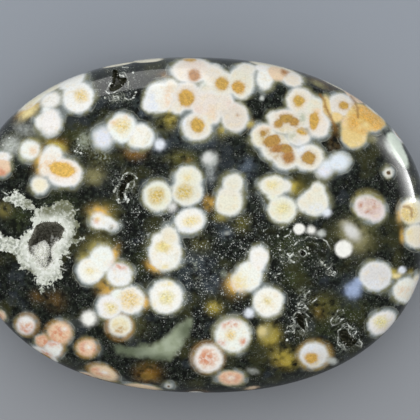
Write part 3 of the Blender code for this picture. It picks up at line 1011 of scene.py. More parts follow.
    def threads(self, below: Socket) -> Socket:
        """The brown veins, the thin crystal-lined threads and the bright specks.

        Args:
            below: the colour below.

        Returns:
            The colour with them.
        """
        ragged = self.jitter(0.36, 4.0, 4.0)
        patchy = 0.2 + 0.8 * self.noise(1.5, 3.0).above(0.42, 0.58)
        length, near = self.nearness("vein")
        colour = self.mix((length + ragged).above(0.42, 0.0) * near * 0.65, below, self.vein_brown)
        for name, width, strength in (("thread", 0.08, 0.92 * patchy), ("spark", 0.15, 0.95)):
            length, near = self.nearness(name)
            mask = (length + ragged).above(width + 0.05, width - 0.05) * near
            pale = self.mix(self.noise(1.7).above(0.35, 0.65), self.thread_dull, self.thread_bright)
            colour = self.mix(length.above(0.36, 0.05) * near * 0.1, colour, self.thread_glow)
            colour = self.mix(mask * strength, colour, pale)
        return colour

    def crescent(self, below: Socket) -> Socket:
        """The flush sage-green crescent.

        Args:
            below: the colour below.

        Returns:
            The colour with the crescent.
        """
        edge = self.number("crescent") + self.jitter(1.1, 1.1, 5.0)
        dim = self.number("crescent_shade")
        cloud = self.noise(0.6, 4.0).above(0.3, 0.7)
        colour = self.mix(cloud, self.crescent_deep, self.crescent_pale)
        colour = self.mix(dim, colour, self.crescent_dim)
        return self.mix(edge.above(-0.45, 0.6) * (0.95 - 0.15 * dim), below, colour)

    def crust(self, below: Socket) -> Socket:
        """The crystalline crust round the large vug, breaking up into flecks outwards.

        Args:
            below: the colour below.

        Returns:
            The colour with the crust.
        """
        tint = self.node("ShaderNodeTexNoise", None, {"Vector": self.place, "Scale": 2.0}).outputs["Color"]
        warp = self.sum(self.place, self.scaled(tint, 0.6))
        draw = self.channel(self.cells(2.4, vector=warp).outputs["Color"])
        edge = self.number("crust") + ((draw - 0.5) * 0.5 + self.jitter(1.5, 1.6, 6.0))
        blotch = self.noise(2.1, 6.0, warp) + draw * 0.12 - 0.06
        gaps = blotch.above(0.56, 0.44) * self.number("hollow").above(-0.3, -1.6) * 0.7
        green = self.number("moss") * self.noise(2.0, 6.0).above(0.26, 0.54)
        colour = self.mix(draw, self.crust_white, self.crust_grey)
        colour = self.mix(gaps, colour, self.crust_gap)
        colour = self.mix(green * 0.92, colour, self.crust_moss)
        return self.mix(edge.above(-0.08, 0.12) * 0.97, below, colour)


@dataclass
class WallFinish(Shade):
    """The dark broken wall of a small vug."""

    name: str = "vug_wall_finish"
    dark: TRIPLE = linear(34, 34, 22)
    pale: TRIPLE = linear(84, 84, 66)
    roughness: float = 0.35
    grain_height: float = 0.0001

    def make(self) -> bpy.types.Material:
        """Make the material."""
        grain = self.noise(3.0, 5.0)
        colour = self.mix(grain.above(0.42, 0.7), self.dark, self.pale)
        relief = {"Strength": 0.5, "Distance": self.grain_height, "Height": grain}
        bump = self.node("ShaderNodeBump", None, relief)
        inputs = {"Base Color": colour, "Roughness": self.roughness, "Normal": bump.outputs[0]}
        return self.principled(inputs)


@dataclass
class QuartzFinish(Shade):
    """Quartz crystals: milk-white where the quartz is cloudy and where light is painted on, grey-brown where
    they are clear.
    """

    roughness: float = 0.18
    ior: float = 1.54
    clear_dark: TRIPLE = linear(86, 84, 72)
    clear_pale: TRIPLE = linear(150, 148, 134)
    milk_dark: TRIPLE = linear(236, 237, 226)
    milk_pale: TRIPLE = linear(253, 253, 249)

    def make(self) -> bpy.types.Material:
        """Make the material."""
        draw = self.noise(2.5, 3.0)
        milky_and_lit = self.number("milky_and_lit") + (draw - 0.5) * 0.9
        clear = self.mix(draw.above(0.35, 0.7), self.clear_dark, self.clear_pale)
        white = self.mix(draw.above(0.35, 0.65), self.milk_dark, self.milk_pale)
        colour = self.mix(milky_and_lit.above(0.35, 0.65), clear, white)
        return self.principled({"Base Color": colour, "Roughness": self.roughness, "IOR": self.ior})


@dataclass
class FloorFinish(Shade):
    """The plain pale surface that the stone lies on, a little bluer towards the far side.

    The polish mirrors its near side darker than the camera sees it, which gives the stone the
    dark near rim that it has in the photo.

    Args:
        near: the colour near the camera's lower edge.
        far: the colour near its upper edge.
        near_shade: how much darker the near side is in the polish.
        reach: how far from the stone's middle both colours are reached.
        shade_from, shade_to: where the darker side begins and where it is full.
    """

    name: str = "floor_finish"
    near: TRIPLE = linear(145, 147, 151)
    far: TRIPLE = linear(148, 154, 163)
    near_shade: float = 0.65
    reach: float = 60.0
    shade_from: float = 5.0
    shade_to: float = -30.0

    def make(self) -> bpy.types.Material:
        """Make the material."""
        along = self.value("ShaderNodeSeparateXYZ", None, {0: self.place}, "Y")
        colour = self.mix(along.above(-self.reach, self.reach), self.near, self.far)
        mirrored = self.value("ShaderNodeLightPath", None, {}, "Is Glossy Ray")
        darker = self.near_shade * mirrored * along.above(self.shade_from, self.shade_to)
        colour = self.scaled(colour, 1.0 - darker)
        return self.principled({"Base Color": colour, "Roughness": 0.9, "Specular IOR Level": 0.1})


@dataclass(frozen=True)
class Disc:
    """A mark on the stone: three vectors that measure how far a point is from its middle.

    Args:
        middle: where it lies.
        measures: one over the radii, along the mark, across it and through the surface.
        radius: its mean radius.
        spot: the tone, strength and softness that it has.
    """

    middle: np.ndarray
    measures: np.ndarray
    radius: float
    spot: Spot

    def local(self, points: np.ndarray) -> np.ndarray:
        """Points in the disc's own frame, where its edge is at distance 1."""
        return (points - self.middle) @ self.measures.T

    def inside(self, points: np.ndarray) -> np.ndarray:
        """How far inside the disc's edge points are, in millimetres."""
        return (1 - np.linalg.norm(self.local(points), axis=1)) * self.radius


@dataclass
class NearestDisc:
    """The disc that covers each point best.

    Args:
        inside: how far inside its edge the point is.
        tone: its colour.
        blur: half the width of its soft edge.
        seam: how far the point is from the line between two discs.
        local: the point in the disc's own frame.
    """

    inside: np.ndarray
    tone: np.ndarray
    blur: np.ndarray
    seam: np.ndarray
    local: np.ndarray

    @classmethod
    def nothing(cls, count: int, far: float) -> "NearestDisc":
        """No disc near any of so many points."""
        return cls(
            inside=np.full(count, far),
            tone=np.full((count, 3), 0.5),
            blur=np.full(count, 0.16),
            seam=np.full(count, -far),
            local=np.zeros((count, 3)),
        )


# The kinds of orb on the sides and the back: the body, the eye and how common the kind is
HIDDEN_KINDS = (
    (Tone.WHITE, Tone.GOLD, 9),
    (Tone.WHITE, Tone.STRAW, 5),
    (Tone.CREAM, Tone.GOLD, 3),
    (Tone.CREAM, None, 3),
    (Tone.PEACH, Tone.SALMON, 3),
    (Tone.BLUISH, None, 2),
)
HIDDEN_GLOWS = (Tone.OLIVE, Tone.AMBER, Tone.MOSS, Tone.SLATE, Tone.OLIVE)
# The softness from which a mark fades all over
ALL_SOFT = 0.9


@dataclass
class Markings:
    """All the marks of the stone, and the fields that they give at its mesh's points.

    Args:
        stone: the stone's form.
        view: the photo that places the front's marks.
        seed: of the marks that the photo doesn't show.
        reach: how far inside or outside an edge a field still counts.
        neck: how wide the smooth neck between two touching orbs is.
        depth_share: how deep a mark goes, as a share of its radius.
        blur_share: half the width of a disc's soft edge in millimetres, for a softness of 1.
        base_dust: how much dust there is away from the dusty places.
        tone_swing: the least and the most that a disc's colour is multiplied by.
        hidden_orbs: how many orbs are tried on the sides and the back.
        hidden_radii: the smallest and the largest radius of them.
        hidden_overlap: how far two may overlap, as a share of a radius.
        side_share: the share of them that is tried on the sides.
        side_slopes: how far below and above the widest level those lie, in radians.
        back_share: how much of the back's plan the others lie on.
        sunk_share: the share of them that lies below the surface.
    """

    stone: Pebble
    view: PhotoView
    seed: int = 11
    reach: float = 2.0
    neck: float = 0.35
    depth_share: float = 0.8
    blur_share: float = 1.6
    base_dust: float = 0.22
    tone_swing: tuple[float, float] = (0.965, 1.02)
    hidden_orbs: int = 190
    hidden_radii: tuple[float, float] = (1.0, 2.6)
    hidden_overlap: float = 0.35
    side_share: float = 0.42
    side_slopes: tuple[float, float] = (-0.9, 0.12)
    back_share: float = 0.86
    sunk_share: float = 0.2
    discs: dict[str, list[Disc]] = field(init=False)

    def __post_init__(self) -> None:
        """Place every mark."""
        front = {"orb": ORBS, "eye": EYES, "patch": PATCHES}
        # The sunk layer also carries the painted highlights and the painted reflection along the rim
        front |= {"deep": GLOWS, "fringe": FRINGES, "sunk": DEEP_ORBS_AND_PAINTED_LIGHT}
        self.discs = {kind: self.seen(marks) for kind, marks in front.items()}
        self.add_hidden(random.Random(self.seed))

    def seen(self, marks: Sequence[Spot]) -> list[Disc]:
        """Place marks that the photo shows on the front face.

        Args:
            marks: the marks.

        Returns:
            Their discs, which look as in the photo from straight above.
        """
        discs = []
        for spot in marks:
            middle = self.view.on_stone(self.stone, spot.x, spot.y)
            half_length, half_width = spot.rx * self.view.mm_per_px, spot.ry * self.view.mm_per_px
            angle = math.radians(spot.turn) + self.view.turn
            mean = math.sqrt(half_length * half_width)
            measures = np.array(
                [
                    np.array([math.cos(angle), math.sin(angle), 0.0]) / half_length,
                    np.array([-math.sin(angle), math.cos(angle), 0.0]) / half_width,
                    self.stone.normal(middle) / (mean * self.depth_share),
                ]
            )
            discs.append(Disc(middle, measures, mean, spot))
        return discs

    def round_disc(
        self, middle: np.ndarray, radius: float, tone: Tone, strength: float = 1.0, soft: float = 0.1
    ) -> Disc:
        """A round mark that lies on the surface at any point of the stone.

        Args:
            middle: that point.
            radius: of the mark.
            tone: its colour.
            strength, soft: as a spot has them.

        Returns:
            The mark.
        """
        normal = self.stone.normal(middle)
        across = np.cross(normal, [0.31, 0.55, 0.77])
        across /= np.linalg.norm(across)
        along = np.cross(across, normal)
        measures = np.array([along, across, normal / self.depth_share]) / radius
        spot = Spot(0, 0, radius, radius, tone=tone, strength=strength, soft=soft)
        return Disc(middle, measures, radius, spot)

    @staticmethod
    def nudge(draw: random.Random, size: float) -> np.ndarray:
        """A random move, of up to a size along each axis."""
        return np.array([draw.uniform(-1, 1) for _ in range(3)]) * size

    def hidden_place(self, draw: random.Random) -> np.ndarray:
        """A random point of the sides or the back.

        Args:
            draw: the source of chance.

        Returns:
            The point.
        """
        stone = self.stone
        turn = draw.uniform(0, 2 * math.pi)
        if draw.random() < self.side_share:
            slope = draw.uniform(*self.side_slopes)
            level = math.copysign(abs(math.sin(slope)) ** (2 / stone.section_power), slope)
            share = (1 - abs(level) ** stone.section_power) ** (1 / stone.section_power)
        else:
            share = math.sqrt(draw.uniform(0, self.back_share))
            level = -((1 - share**stone.section_power) ** (1 / stone.section_power))
        rise = stone.front_rise if level > 0 else stone.back_drop
        return np.array([*share * stone.rim(turn), max(stone.equator + level * rise, 0.0)])

    def add_hidden(self, draw: random.Random) -> None:
        """Add marks of the same kinds where the photo doesn't look.

        Args:
            draw: the source of chance.
        """
        weights = [weight for *_, weight in HIDDEN_KINDS]
        taken = [(disc.middle, disc.radius) for disc in self.discs["orb"]]
        for _ in range(self.hidden_orbs):
            radius = draw.uniform(*self.hidden_radii)
            middle = self.hidden_place(draw)
            crowd = min(np.linalg.norm(middle - other) - size - radius for other, size in taken)
            if crowd < -self.hidden_overlap * radius:
                continue
            taken.append((middle, radius))
            body, centre, _ = draw.choices(HIDDEN_KINDS, weights)[0]
            tone = draw.choice(HIDDEN_GLOWS)
            strength = draw.uniform(0.3, 0.8)
            place = middle + self.nudge(draw, 0.8)
            size = radius * draw.uniform(1.1, 1.5)
            self.discs["deep"].append(self.round_disc(place, size, tone, strength, 0.8))
            if draw.random() < self.sunk_share:
                self.discs["sunk"].append(self.round_disc(middle, radius * 0.8, body, 0.8, 0.45))
                continue
            self.discs["orb"].append(self.round_disc(middle, radius, body))
            if centre:
                place = middle + self.nudge(draw, 0.2 * radius)
                size = radius * draw.uniform(0.25, 0.48)
                self.discs["eye"].append(self.round_disc(place, size, centre))

    def nearest(self, points: np.ndarray, discs: Sequence[Disc]) -> NearestDisc:
        """Find the disc that reaches furthest over each point, with smooth necks between discs.

        Args:
            points: the points.
            discs: the discs.

        Returns:
            What was found, at every point.
        """
        found = NearestDisc.nothing(len(points), -self.reach)
        draw = random.Random(self.seed)
        for disc in discs:
            shift = np.array([draw.uniform(*self.tone_swing) for _ in range(3)])
            far = np.linalg.norm(points - disc.middle, axis=1)
            rows = np.flatnonzero(far < 2 * disc.radius + 2 * self.reach)
            inside = disc.inside(points[rows])
            found.seam[rows] = np.minimum(found.seam[rows], np.abs(inside - found.inside[rows]))
            blend = np.clip(0.5 + (inside - found.inside[rows]) / (2 * self.neck), 0, 1)
            lift = self.neck * blend * (1 - blend)
            found.inside[rows] = blend * inside + (1 - blend) * found.inside[rows] + lift
            share = blend[:, None]
            tone = disc.spot.tone.light() * shift
            found.tone[rows] = share * tone + (1 - share) * found.tone[rows]
            found.blur[rows] = blend * disc.spot.soft * self.blur_share + (1 - blend) * found.blur[rows]
            better = rows[blend > 0.5]
            found.local[better] = disc.local(points[better])
        return found

    @staticmethod
    def layered(points: np.ndarray, discs: Sequence[Disc]) -> np.ndarray:
        """Lay soft marks over one another, in their order.

        Args:
            points: the points.
            discs: the marks' discs.

        Returns:
            Colour and cover at each point.
        """
        colour = np.zeros((len(points), 3))
        cover = np.zeros(len(points))
        for disc in discs:
            far = np.linalg.norm(disc.local(points), axis=1)
            if disc.spot.soft < ALL_SOFT:
                share = np.clip((1 + disc.spot.soft / 2 - far) / disc.spot.soft, 0, 1)
                share = share * share * (3 - 2 * share) * disc.spot.strength
            else:
                share = np.exp(-1.5 * far**2.4) * disc.spot.strength
            total = share + cover * (1 - share)
            weight = np.where(total > 0, share / np.maximum(total, 1e-9), 0)[:, None]
            colour = colour * (1 - weight) + disc.spot.tone.light() * weight
            cover = total
        return np.column_stack([colour, cover])

    def patch_field(self, points: np.ndarray, marks: Sequence[Spot]) -> np.ndarray:
        """How much of a scattered kind of mark there is at each point, from 0 to 1."""
        return self.layered(points, self.seen(marks))[:, 3]

    def outline_field(self, points: np.ndarray, text: str) -> np.ndarray:
        """How far inside an outline of the front face points are.

        Args:
            points: the points.
            text: the outline, in photo pixels.

        Returns:
            The distance in millimetres, negative outside and on the back.
        """
        signed = signed_distance(points[:, :2], self.view.plan_outline(self.stone, text))
        signed[points[:, 2] < self.stone.equator] = -self.reach
        return np.maximum(signed, -self.reach)

    def thread_field(self, points: np.ndarray, text: str) -> tuple[np.ndarray, np.ndarray]:
        """Where the nearest point of the threads lies from each point of the front face.

        Args:
            points: the points.
            text: the threads' corners in photo pixels, with a semicolon after each thread.

        Returns:
            The way there as seen from above, and its length, both in millimetres.
        """
        flat = points[:, :2]
        way = np.full((len(flat), 3), self.reach)
        gap = np.full(len(flat), self.reach)
        for thread in text.split(";"):
            corners = self.view.plan_outline(self.stone, thread)
            for start, end in zip(corners, corners[1:] if len(corners) > 1 else corners):
                run = end - start
                share = np.clip((flat - start) @ run / max(float(run @ run), 1e-9), 0, 1)
                to_line = start + share[:, None] * run - flat
                length = np.linalg.norm(to_line, axis=1)
                closer = (length < gap) & (points[:, 2] > self.stone.equator)
                gap[closer] = length[closer]
                way[closer, :2] = to_line[closer]
                way[closer, 2] = 0.0
        return way, gap

    def paint(self, mesh: bpy.types.Mesh) -> None:
        """Work out every field at the mesh's points and store it as an attribute."""
        points = mesh_points(mesh)
        orb, eye = (self.nearest(points, self.discs[kind]) for kind in ("orb", "eye"))
        numbers = {"orb": orb.inside, "blur": orb.blur, "seam": orb.seam}
        numbers |= {"eye": eye.inside, "eye_blur": eye.blur}
        outlines = {"crust": CRUST_OUTLINE, "hollow": HOLLOW_OUTLINE, "crescent": CRESCENT_OUTLINE}
        for name, text in outlines.items():
            numbers[name] = self.outline_field(points, text)
        scattered = {"crescent_shade": CRESCENT_SHADE, "dust": DUST, "moss": CRUST_MOSS, "frost": FROST}
        for name, marks in scattered.items():
            numbers[name] = self.patch_field(points, marks)
        numbers["dust"] = self.base_dust + (1 - self.base_dust) * numbers["dust"]
        vectors = {"spoke": orb.local}
        for name, text in {"thread": THREADS, "spark": SPARKS, "vein": VEINS}.items():
            vectors[f"{name}_way"], numbers[f"{name}_gap"] = self.thread_field(points, text)
        colours = {}
        for name, found in {"body": orb, "eye_tone": eye}.items():
            colours[name] = np.column_stack([found.tone, np.ones(len(points))])
        for name in ("deep", "sunk", "fringe", "patch"):
            colours[name] = self.layered(points, self.discs[name])
        for kind, fields in (("FLOAT", numbers), ("FLOAT_VECTOR", vectors), ("FLOAT_COLOR", colours)):
            for name, values in fields.items():
                store(mesh, name, kind, values)


def mesh_points(mesh: bpy.types.Mesh) -> np.ndarray:
    """The points of a mesh, in millimetres."""
    flat = np.empty(len(mesh.vertices) * 3, dtype=np.float32)
    mesh.vertices.foreach_get("co", flat)
    return flat.reshape(-1, 3).astype(float) / MM


def store(mesh: bpy.types.Mesh, name: str, kind: str, values: np.ndarray) -> None:
    """Store a field at each point of a mesh.

    Args:
        mesh: the mesh.
        name: the field's name.
        kind: its type: FLOAT, FLOAT_VECTOR or FLOAT_COLOR.
        values: a row for each point.
    """
    key = {"FLOAT": "value", "FLOAT_VECTOR": "vector", "FLOAT_COLOR": "color"}[kind]
    mesh.attributes.new(name, kind, "POINT").data.foreach_set(key, values.astype(np.float32).ravel())


def settled(name: str, shape: bmesh.types.BMesh) -> bpy.types.Mesh:
    """Turn a shape under construction into a plain mesh, and free it."""
    mesh = bpy.data.meshes.new(name)
    shape.to_mesh(mesh)
    shape.free()
    return mesh


def mesh_object(name: str, mesh: bpy.types.Mesh) -> bpy.types.Object:
    """Put a mesh in the scene as an object of its own."""
    made = bpy.data.objects.new(name, mesh)
    bpy.context.scene.collection.objects.link(made)
    return made


def evaluated_mesh(thing: bpy.types.Object) -> bpy.types.Mesh:
    """A plain copy of an object's mesh with its modifiers applied."""
    graph = bpy.context.evaluated_depsgraph_get()
    return bpy.data.meshes.new_from_object(thing.evaluated_get(graph))


@dataclass(frozen=True)
class SmallVug:
    """A small vug, whose walls draw in towards its floor.

    Args:
        mouth: its mouth's corners, going round, in photo pixels.
        depth: in millimetres.
        around: how many points go round it.
        shares: the shares of its depth that its rings lie at.
        roughness: how far its walls swing in and out, as a share of their distance.
        grain: how fine that swing is, in lumps a millimetre.
    """

    mouth: str
    depth: float
    around: int = 28
    shares: tuple[float, ...] = (-0.3, 0.0, 0.25, 0.5, 0.75, 0.95)
    roughness: float = 0.28
    grain: float = 1.4

    def cutter(self, stone: Pebble, view: PhotoView) -> bmesh.types.BMesh:
        """The angular lump that cuts it.

        Args:
            stone: the stone that it cuts.
            view: the photo that its mouth is read from.

        Returns:
            The lump.
        """
        mouth = resampled(view.plan_outline(stone, self.mouth), self.around)
        middle = mouth.mean(axis=0)
        rings = []
        for share in self.shares:
            sunk = max(0.0, share)
            wave = [noise.noise(Vector((x, y, 2 * share))) for x, y in mouth * self.grain]
            taper = math.sqrt(1 - sunk**2) * (1 + self.roughness * np.array(wave) * min(1.0, 4 * sunk))
            plan = middle + (mouth - middle) * taper[:, None]
            height = stone.front_height(plan[:, 0], plan[:, 1]) - share * self.depth
            rings.append(np.column_stack([plan, height]))
        return skin_rings(rings)


SMALL_VUGS = tuple(SmallVug(mouth, depth) for mouth, depth in SMALL_MOUTHS)


@dataclass
class LargeVug:
    """The large vug and the crust of quartz that lines it.

    Args:
        stone: the stone that it opens from.
        view: the photo that its mouth is read from.
        depth: how deep it is.
        around: how many points go round it.
        shares: the shares of its depth that its rings lie at.
        swell: how much wider it is halfway down, as a share.
        rounding: how round its floor is, as a power.
        back_shares: those of the crust's back, which sinks into the wall by back_gap.
        lining_rings: rings of the crust's inner face.
        lip: how far the crust's edge lies below the polish.
        bowl_depth, bowl_power: how deep the crust's inner face is, and how flat its floor.
        mound_height, mound_edge: of the lump of crystals on its floor.
        bump_height, bump_grain: of the inner face's bumps, the second in lumps a millimetre.
    """

    stone: Pebble
    view: PhotoView
    depth: float = 5.0
    around: int = 120
    shares: tuple[float, ...] = (-0.3, 0.0, 0.08, 0.18, 0.32, 0.5, 0.68, 0.84, 0.95)
    swell: float = 0.10
    rounding: float = 2.2
    back_shares: tuple[float, ...] = (0.008, 0.2, 0.38, 0.56, 0.72, 0.86)
    back_gap: float = 0.02
    lining_rings: int = 34
    lip: float = 0.04
    bowl_depth: float = 3.9
    bowl_power: float = 5.0
    mound_height: float = 2.5
    mound_edge: float = 0.2
    bump_height: float = 0.22
    bump_grain: float = 2.3
    mouth: np.ndarray = field(init=False)
    lump: np.ndarray = field(init=False)

    def __post_init__(self) -> None:
        """Read the mouth and the lump from their outlines."""
        self.mouth = resampled(self.view.plan_outline(self.stone, HOLLOW_OUTLINE), self.around)
        self.lump = self.view.plan_outline(self.stone, LUMP_OUTLINE)

    def middle(self) -> np.ndarray:
        """The middle of the mouth."""
        return self.mouth.mean(axis=0)

    def ring(self, share: float, inset: float) -> np.ndarray:
        """Points round the vug.

        Args:
            share: how far down they are, as a share of its depth.
            inset: how far they are brought in.

        Returns:
            The points.
        """
        sunk = max(0.0, share)
        taper = (1 + self.swell * math.sin(math.pi * sunk)) * math.sqrt(1 - sunk**self.rounding)
        out = self.mouth - self.middle()
        reach = np.linalg.norm(out, axis=1)
        plan = self.middle() + out * ((reach * taper - inset) / reach)[:, None]
        height = self.stone.front_height(plan[:, 0], plan[:, 1]) - share * self.depth
        return np.column_stack([plan, height])

    def cutter(self) -> bmesh.types.BMesh:
        """The solid that hollows it out."""
        rings = [self.ring(share, 0.0) for share in self.shares]
        return skin_rings(rings)

    def lining_height(self, plan: np.ndarray, share: float) -> np.ndarray:
        """Height of the crust's inner face.

        Args:
            plan: where on the plan.
            share: how far out that is, from 0 in the middle to 1 at the rim.

        Returns:
            The height there.
        """
        inside = signed_distance(plan, self.lump) + self.mound_edge / 2
        mound = self.mound_height / (1 + np.exp(-inside / self.mound_edge)) * (1 - share**6)
        bowl = self.bowl_depth * (1 - share**self.bowl_power)
        return self.stone.front_height(plan[:, 0], plan[:, 1]) - self.lip - bowl + mound

    def crust(self) -> bpy.types.Mesh:
        """The crust itself, before its crystals: a closed cup with a rough inside."""
        back = [self.ring(share, -self.back_gap) for share in self.back_shares]
        rim = self.ring(self.back_shares[0], 0.0)[:, :2]
        inner = []
        for step in range(self.lining_rings):
            share = 1 - step / self.lining_rings
            plan = self.middle() + (rim - self.middle()) * share
            bumps = np.array([noise.noise(Vector((x, y, share)) * self.bump_grain) for x, y in plan])
            bumps *= self.bump_height * min(1.0, (1 - share) * 5)
            inner.append(np.column_stack([plan, self.lining_height(plan, share) + bumps]))
        return settled("quartz_crust_cup", skin_rings(back[::-1] + inner))


def resampled(corners: np.ndarray, count: int) -> np.ndarray:
    """Points evenly spaced round a closed outline.

    Args:
        corners: its corners.
        count: how many points.

    Returns:
        The points.
    """
    closed = np.vstack([corners, corners[:1]])
    run = np.concatenate([[0.0], np.cumsum(np.linalg.norm(np.diff(closed, axis=0), axis=1))])
    places = np.arange(count) / count * run[-1]
    return np.column_stack([np.interp(places, run, closed[:, k]) for k in (0, 1)])


def skin_rings(rings: Sequence[np.ndarray]) -> bmesh.types.BMesh:
    """Skin rings of points, given in millimetres, into one closed mesh in metres.

    Args:
        rings: the rings, all with the same count of points.

    Returns:
        The mesh, with its faces turned outwards.
    """
    made = bmesh.new()
    rows = [[made.verts.new(Vector(point) * MM) for point in ring] for ring in rings]
    for upper, lower in zip(rows, rows[1:]):
        for here in range(len(upper)):
            after = (here + 1) % len(upper)
            made.faces.new((upper[here], lower[here], lower[after], upper[after]))
    for end in (rows[0], rows[-1]):
        made.faces.new(end)
    bmesh.ops.recalc_face_normals(made, faces=made.faces)
    return made


@dataclass
class CrystalScatter:
    """Small pointed crystals, scattered over a mesh by Geometry Nodes.

    Args:
        name: of the node tree.
        density: crystals a square millimetre.
        length: of the longest crystal.
        width: of the widest crystal.
        seed: of their places and sizes.
        sides: flat sides of a crystal.
        tip_share: how wide its tip is, as a share of its width.
        smallest: the smallest crystal, as a share of the largest.
        lean: how far it may lean, in radians.
        spin: how far it may be turned about its length, in radians.
    """

    name: str
    density: float
    length: float
    width: float
    seed: int
    sides: int = 6
    tip_share: float = 0.12
    smallest: float = 0.35
    lean: float = 0.55
    spin: float = 6.28

    def tree(self, finish: bpy.types.Material) -> bpy.types.GeometryNodeTree:
        """Build the node tree.

        Args:
            finish: the crystals' material.

        Returns:
            The tree, with the sizes as named inputs.
        """
        tree = bpy.data.node_groups.new(self.name, "GeometryNodeTree")
        tree.interface.new_socket("Surface", in_out="INPUT", socket_type="NodeSocketGeometry")
        for label in ("Density", "Length", "Radius"):
            tree.interface.new_socket(label, in_out="INPUT", socket_type="NodeSocketFloat")
        tree.interface.new_socket("Crystals", in_out="OUTPUT", socket_type="NodeSocketGeometry")
        start = add_node(tree, "NodeGroupInput").outputs

        inputs = {"Mesh": start["Surface"], "Density": start["Density"], "Seed": self.seed}
        places = add_node(tree, "GeometryNodeDistributePointsOnFaces", None, inputs)
        inputs = {0: start["Radius"], 1: self.tip_share}
        tip = add_node(tree, "ShaderNodeMath", {"operation": "MULTIPLY"}, inputs)
        inputs = {"Vertices": self.sides, "Side Segments": 1, "Depth": start["Length"]}
        inputs |= {"Radius Bottom": start["Radius"], "Radius Top": tip.outputs[0]}
        shaft = add_node(tree, "GeometryNodeMeshCone", {"fill_type": "NONE"}, inputs)

        inputs = {"Min": (-self.lean, -self.lean, 0.0), "Max": (self.lean, self.lean, self.spin)}
        inputs["Seed"] = self.seed + 1
        lean = add_node(tree, "FunctionNodeRandomValue", {"data_type": "FLOAT_VECTOR"}, inputs)
        inputs = {"Rotation": places.outputs["Rotation"], "Rotate By": lean.outputs["Value"]}
        turned = add_node(tree, "FunctionNodeRotateRotation", {"rotation_space": "LOCAL"}, inputs)
        inputs = {2: self.smallest, 3: 1.0, "Seed": self.seed + 2}
        size = add_node(tree, "FunctionNodeRandomValue", None, inputs)

        inputs = {"Points": places.outputs["Points"], "Instance": shaft.outputs["Mesh"]}
        inputs |= {"Rotation": turned.outputs[0], "Scale": size.outputs[1]}
        copies = add_node(tree, "GeometryNodeInstanceOnPoints", None, inputs)
        real = add_node(tree, "GeometryNodeRealizeInstances", None, {0: copies.outputs[0]})
        inputs = {"Geometry": real.outputs[0], "Material": finish}
        coat = add_node(tree, "GeometryNodeSetMaterial", None, inputs)
        add_node(tree, "NodeGroupOutput", None, {0: coat.outputs[0]})
        return tree

    def grow(self, surface: bpy.types.Mesh, finish: bpy.types.Material) -> bpy.types.Mesh:
        """Grow the crystals on a surface.

        Args:
            surface: the mesh that they stand on.
            finish: the crystals' material.

        Returns:
            One plain mesh of them all.
        """
        bed = mesh_object(f"{self.name}_bed", surface)
        tree = self.tree(finish)
        scatter = bed.modifiers.new(self.name, "NODES")
        scatter.node_group = tree
        sizes = {"Density": self.density / MM**2, "Length": self.length * MM, "Radius": self.width / 2 * MM}
        for item in tree.interface.items_tree:
            if item.name in sizes:
                scatter[item.identifier] = sizes[item.name]
        crystals = evaluated_mesh(bed)
        bed.modifiers.remove(scatter)
        bpy.data.objects.remove(bed)
        return crystals


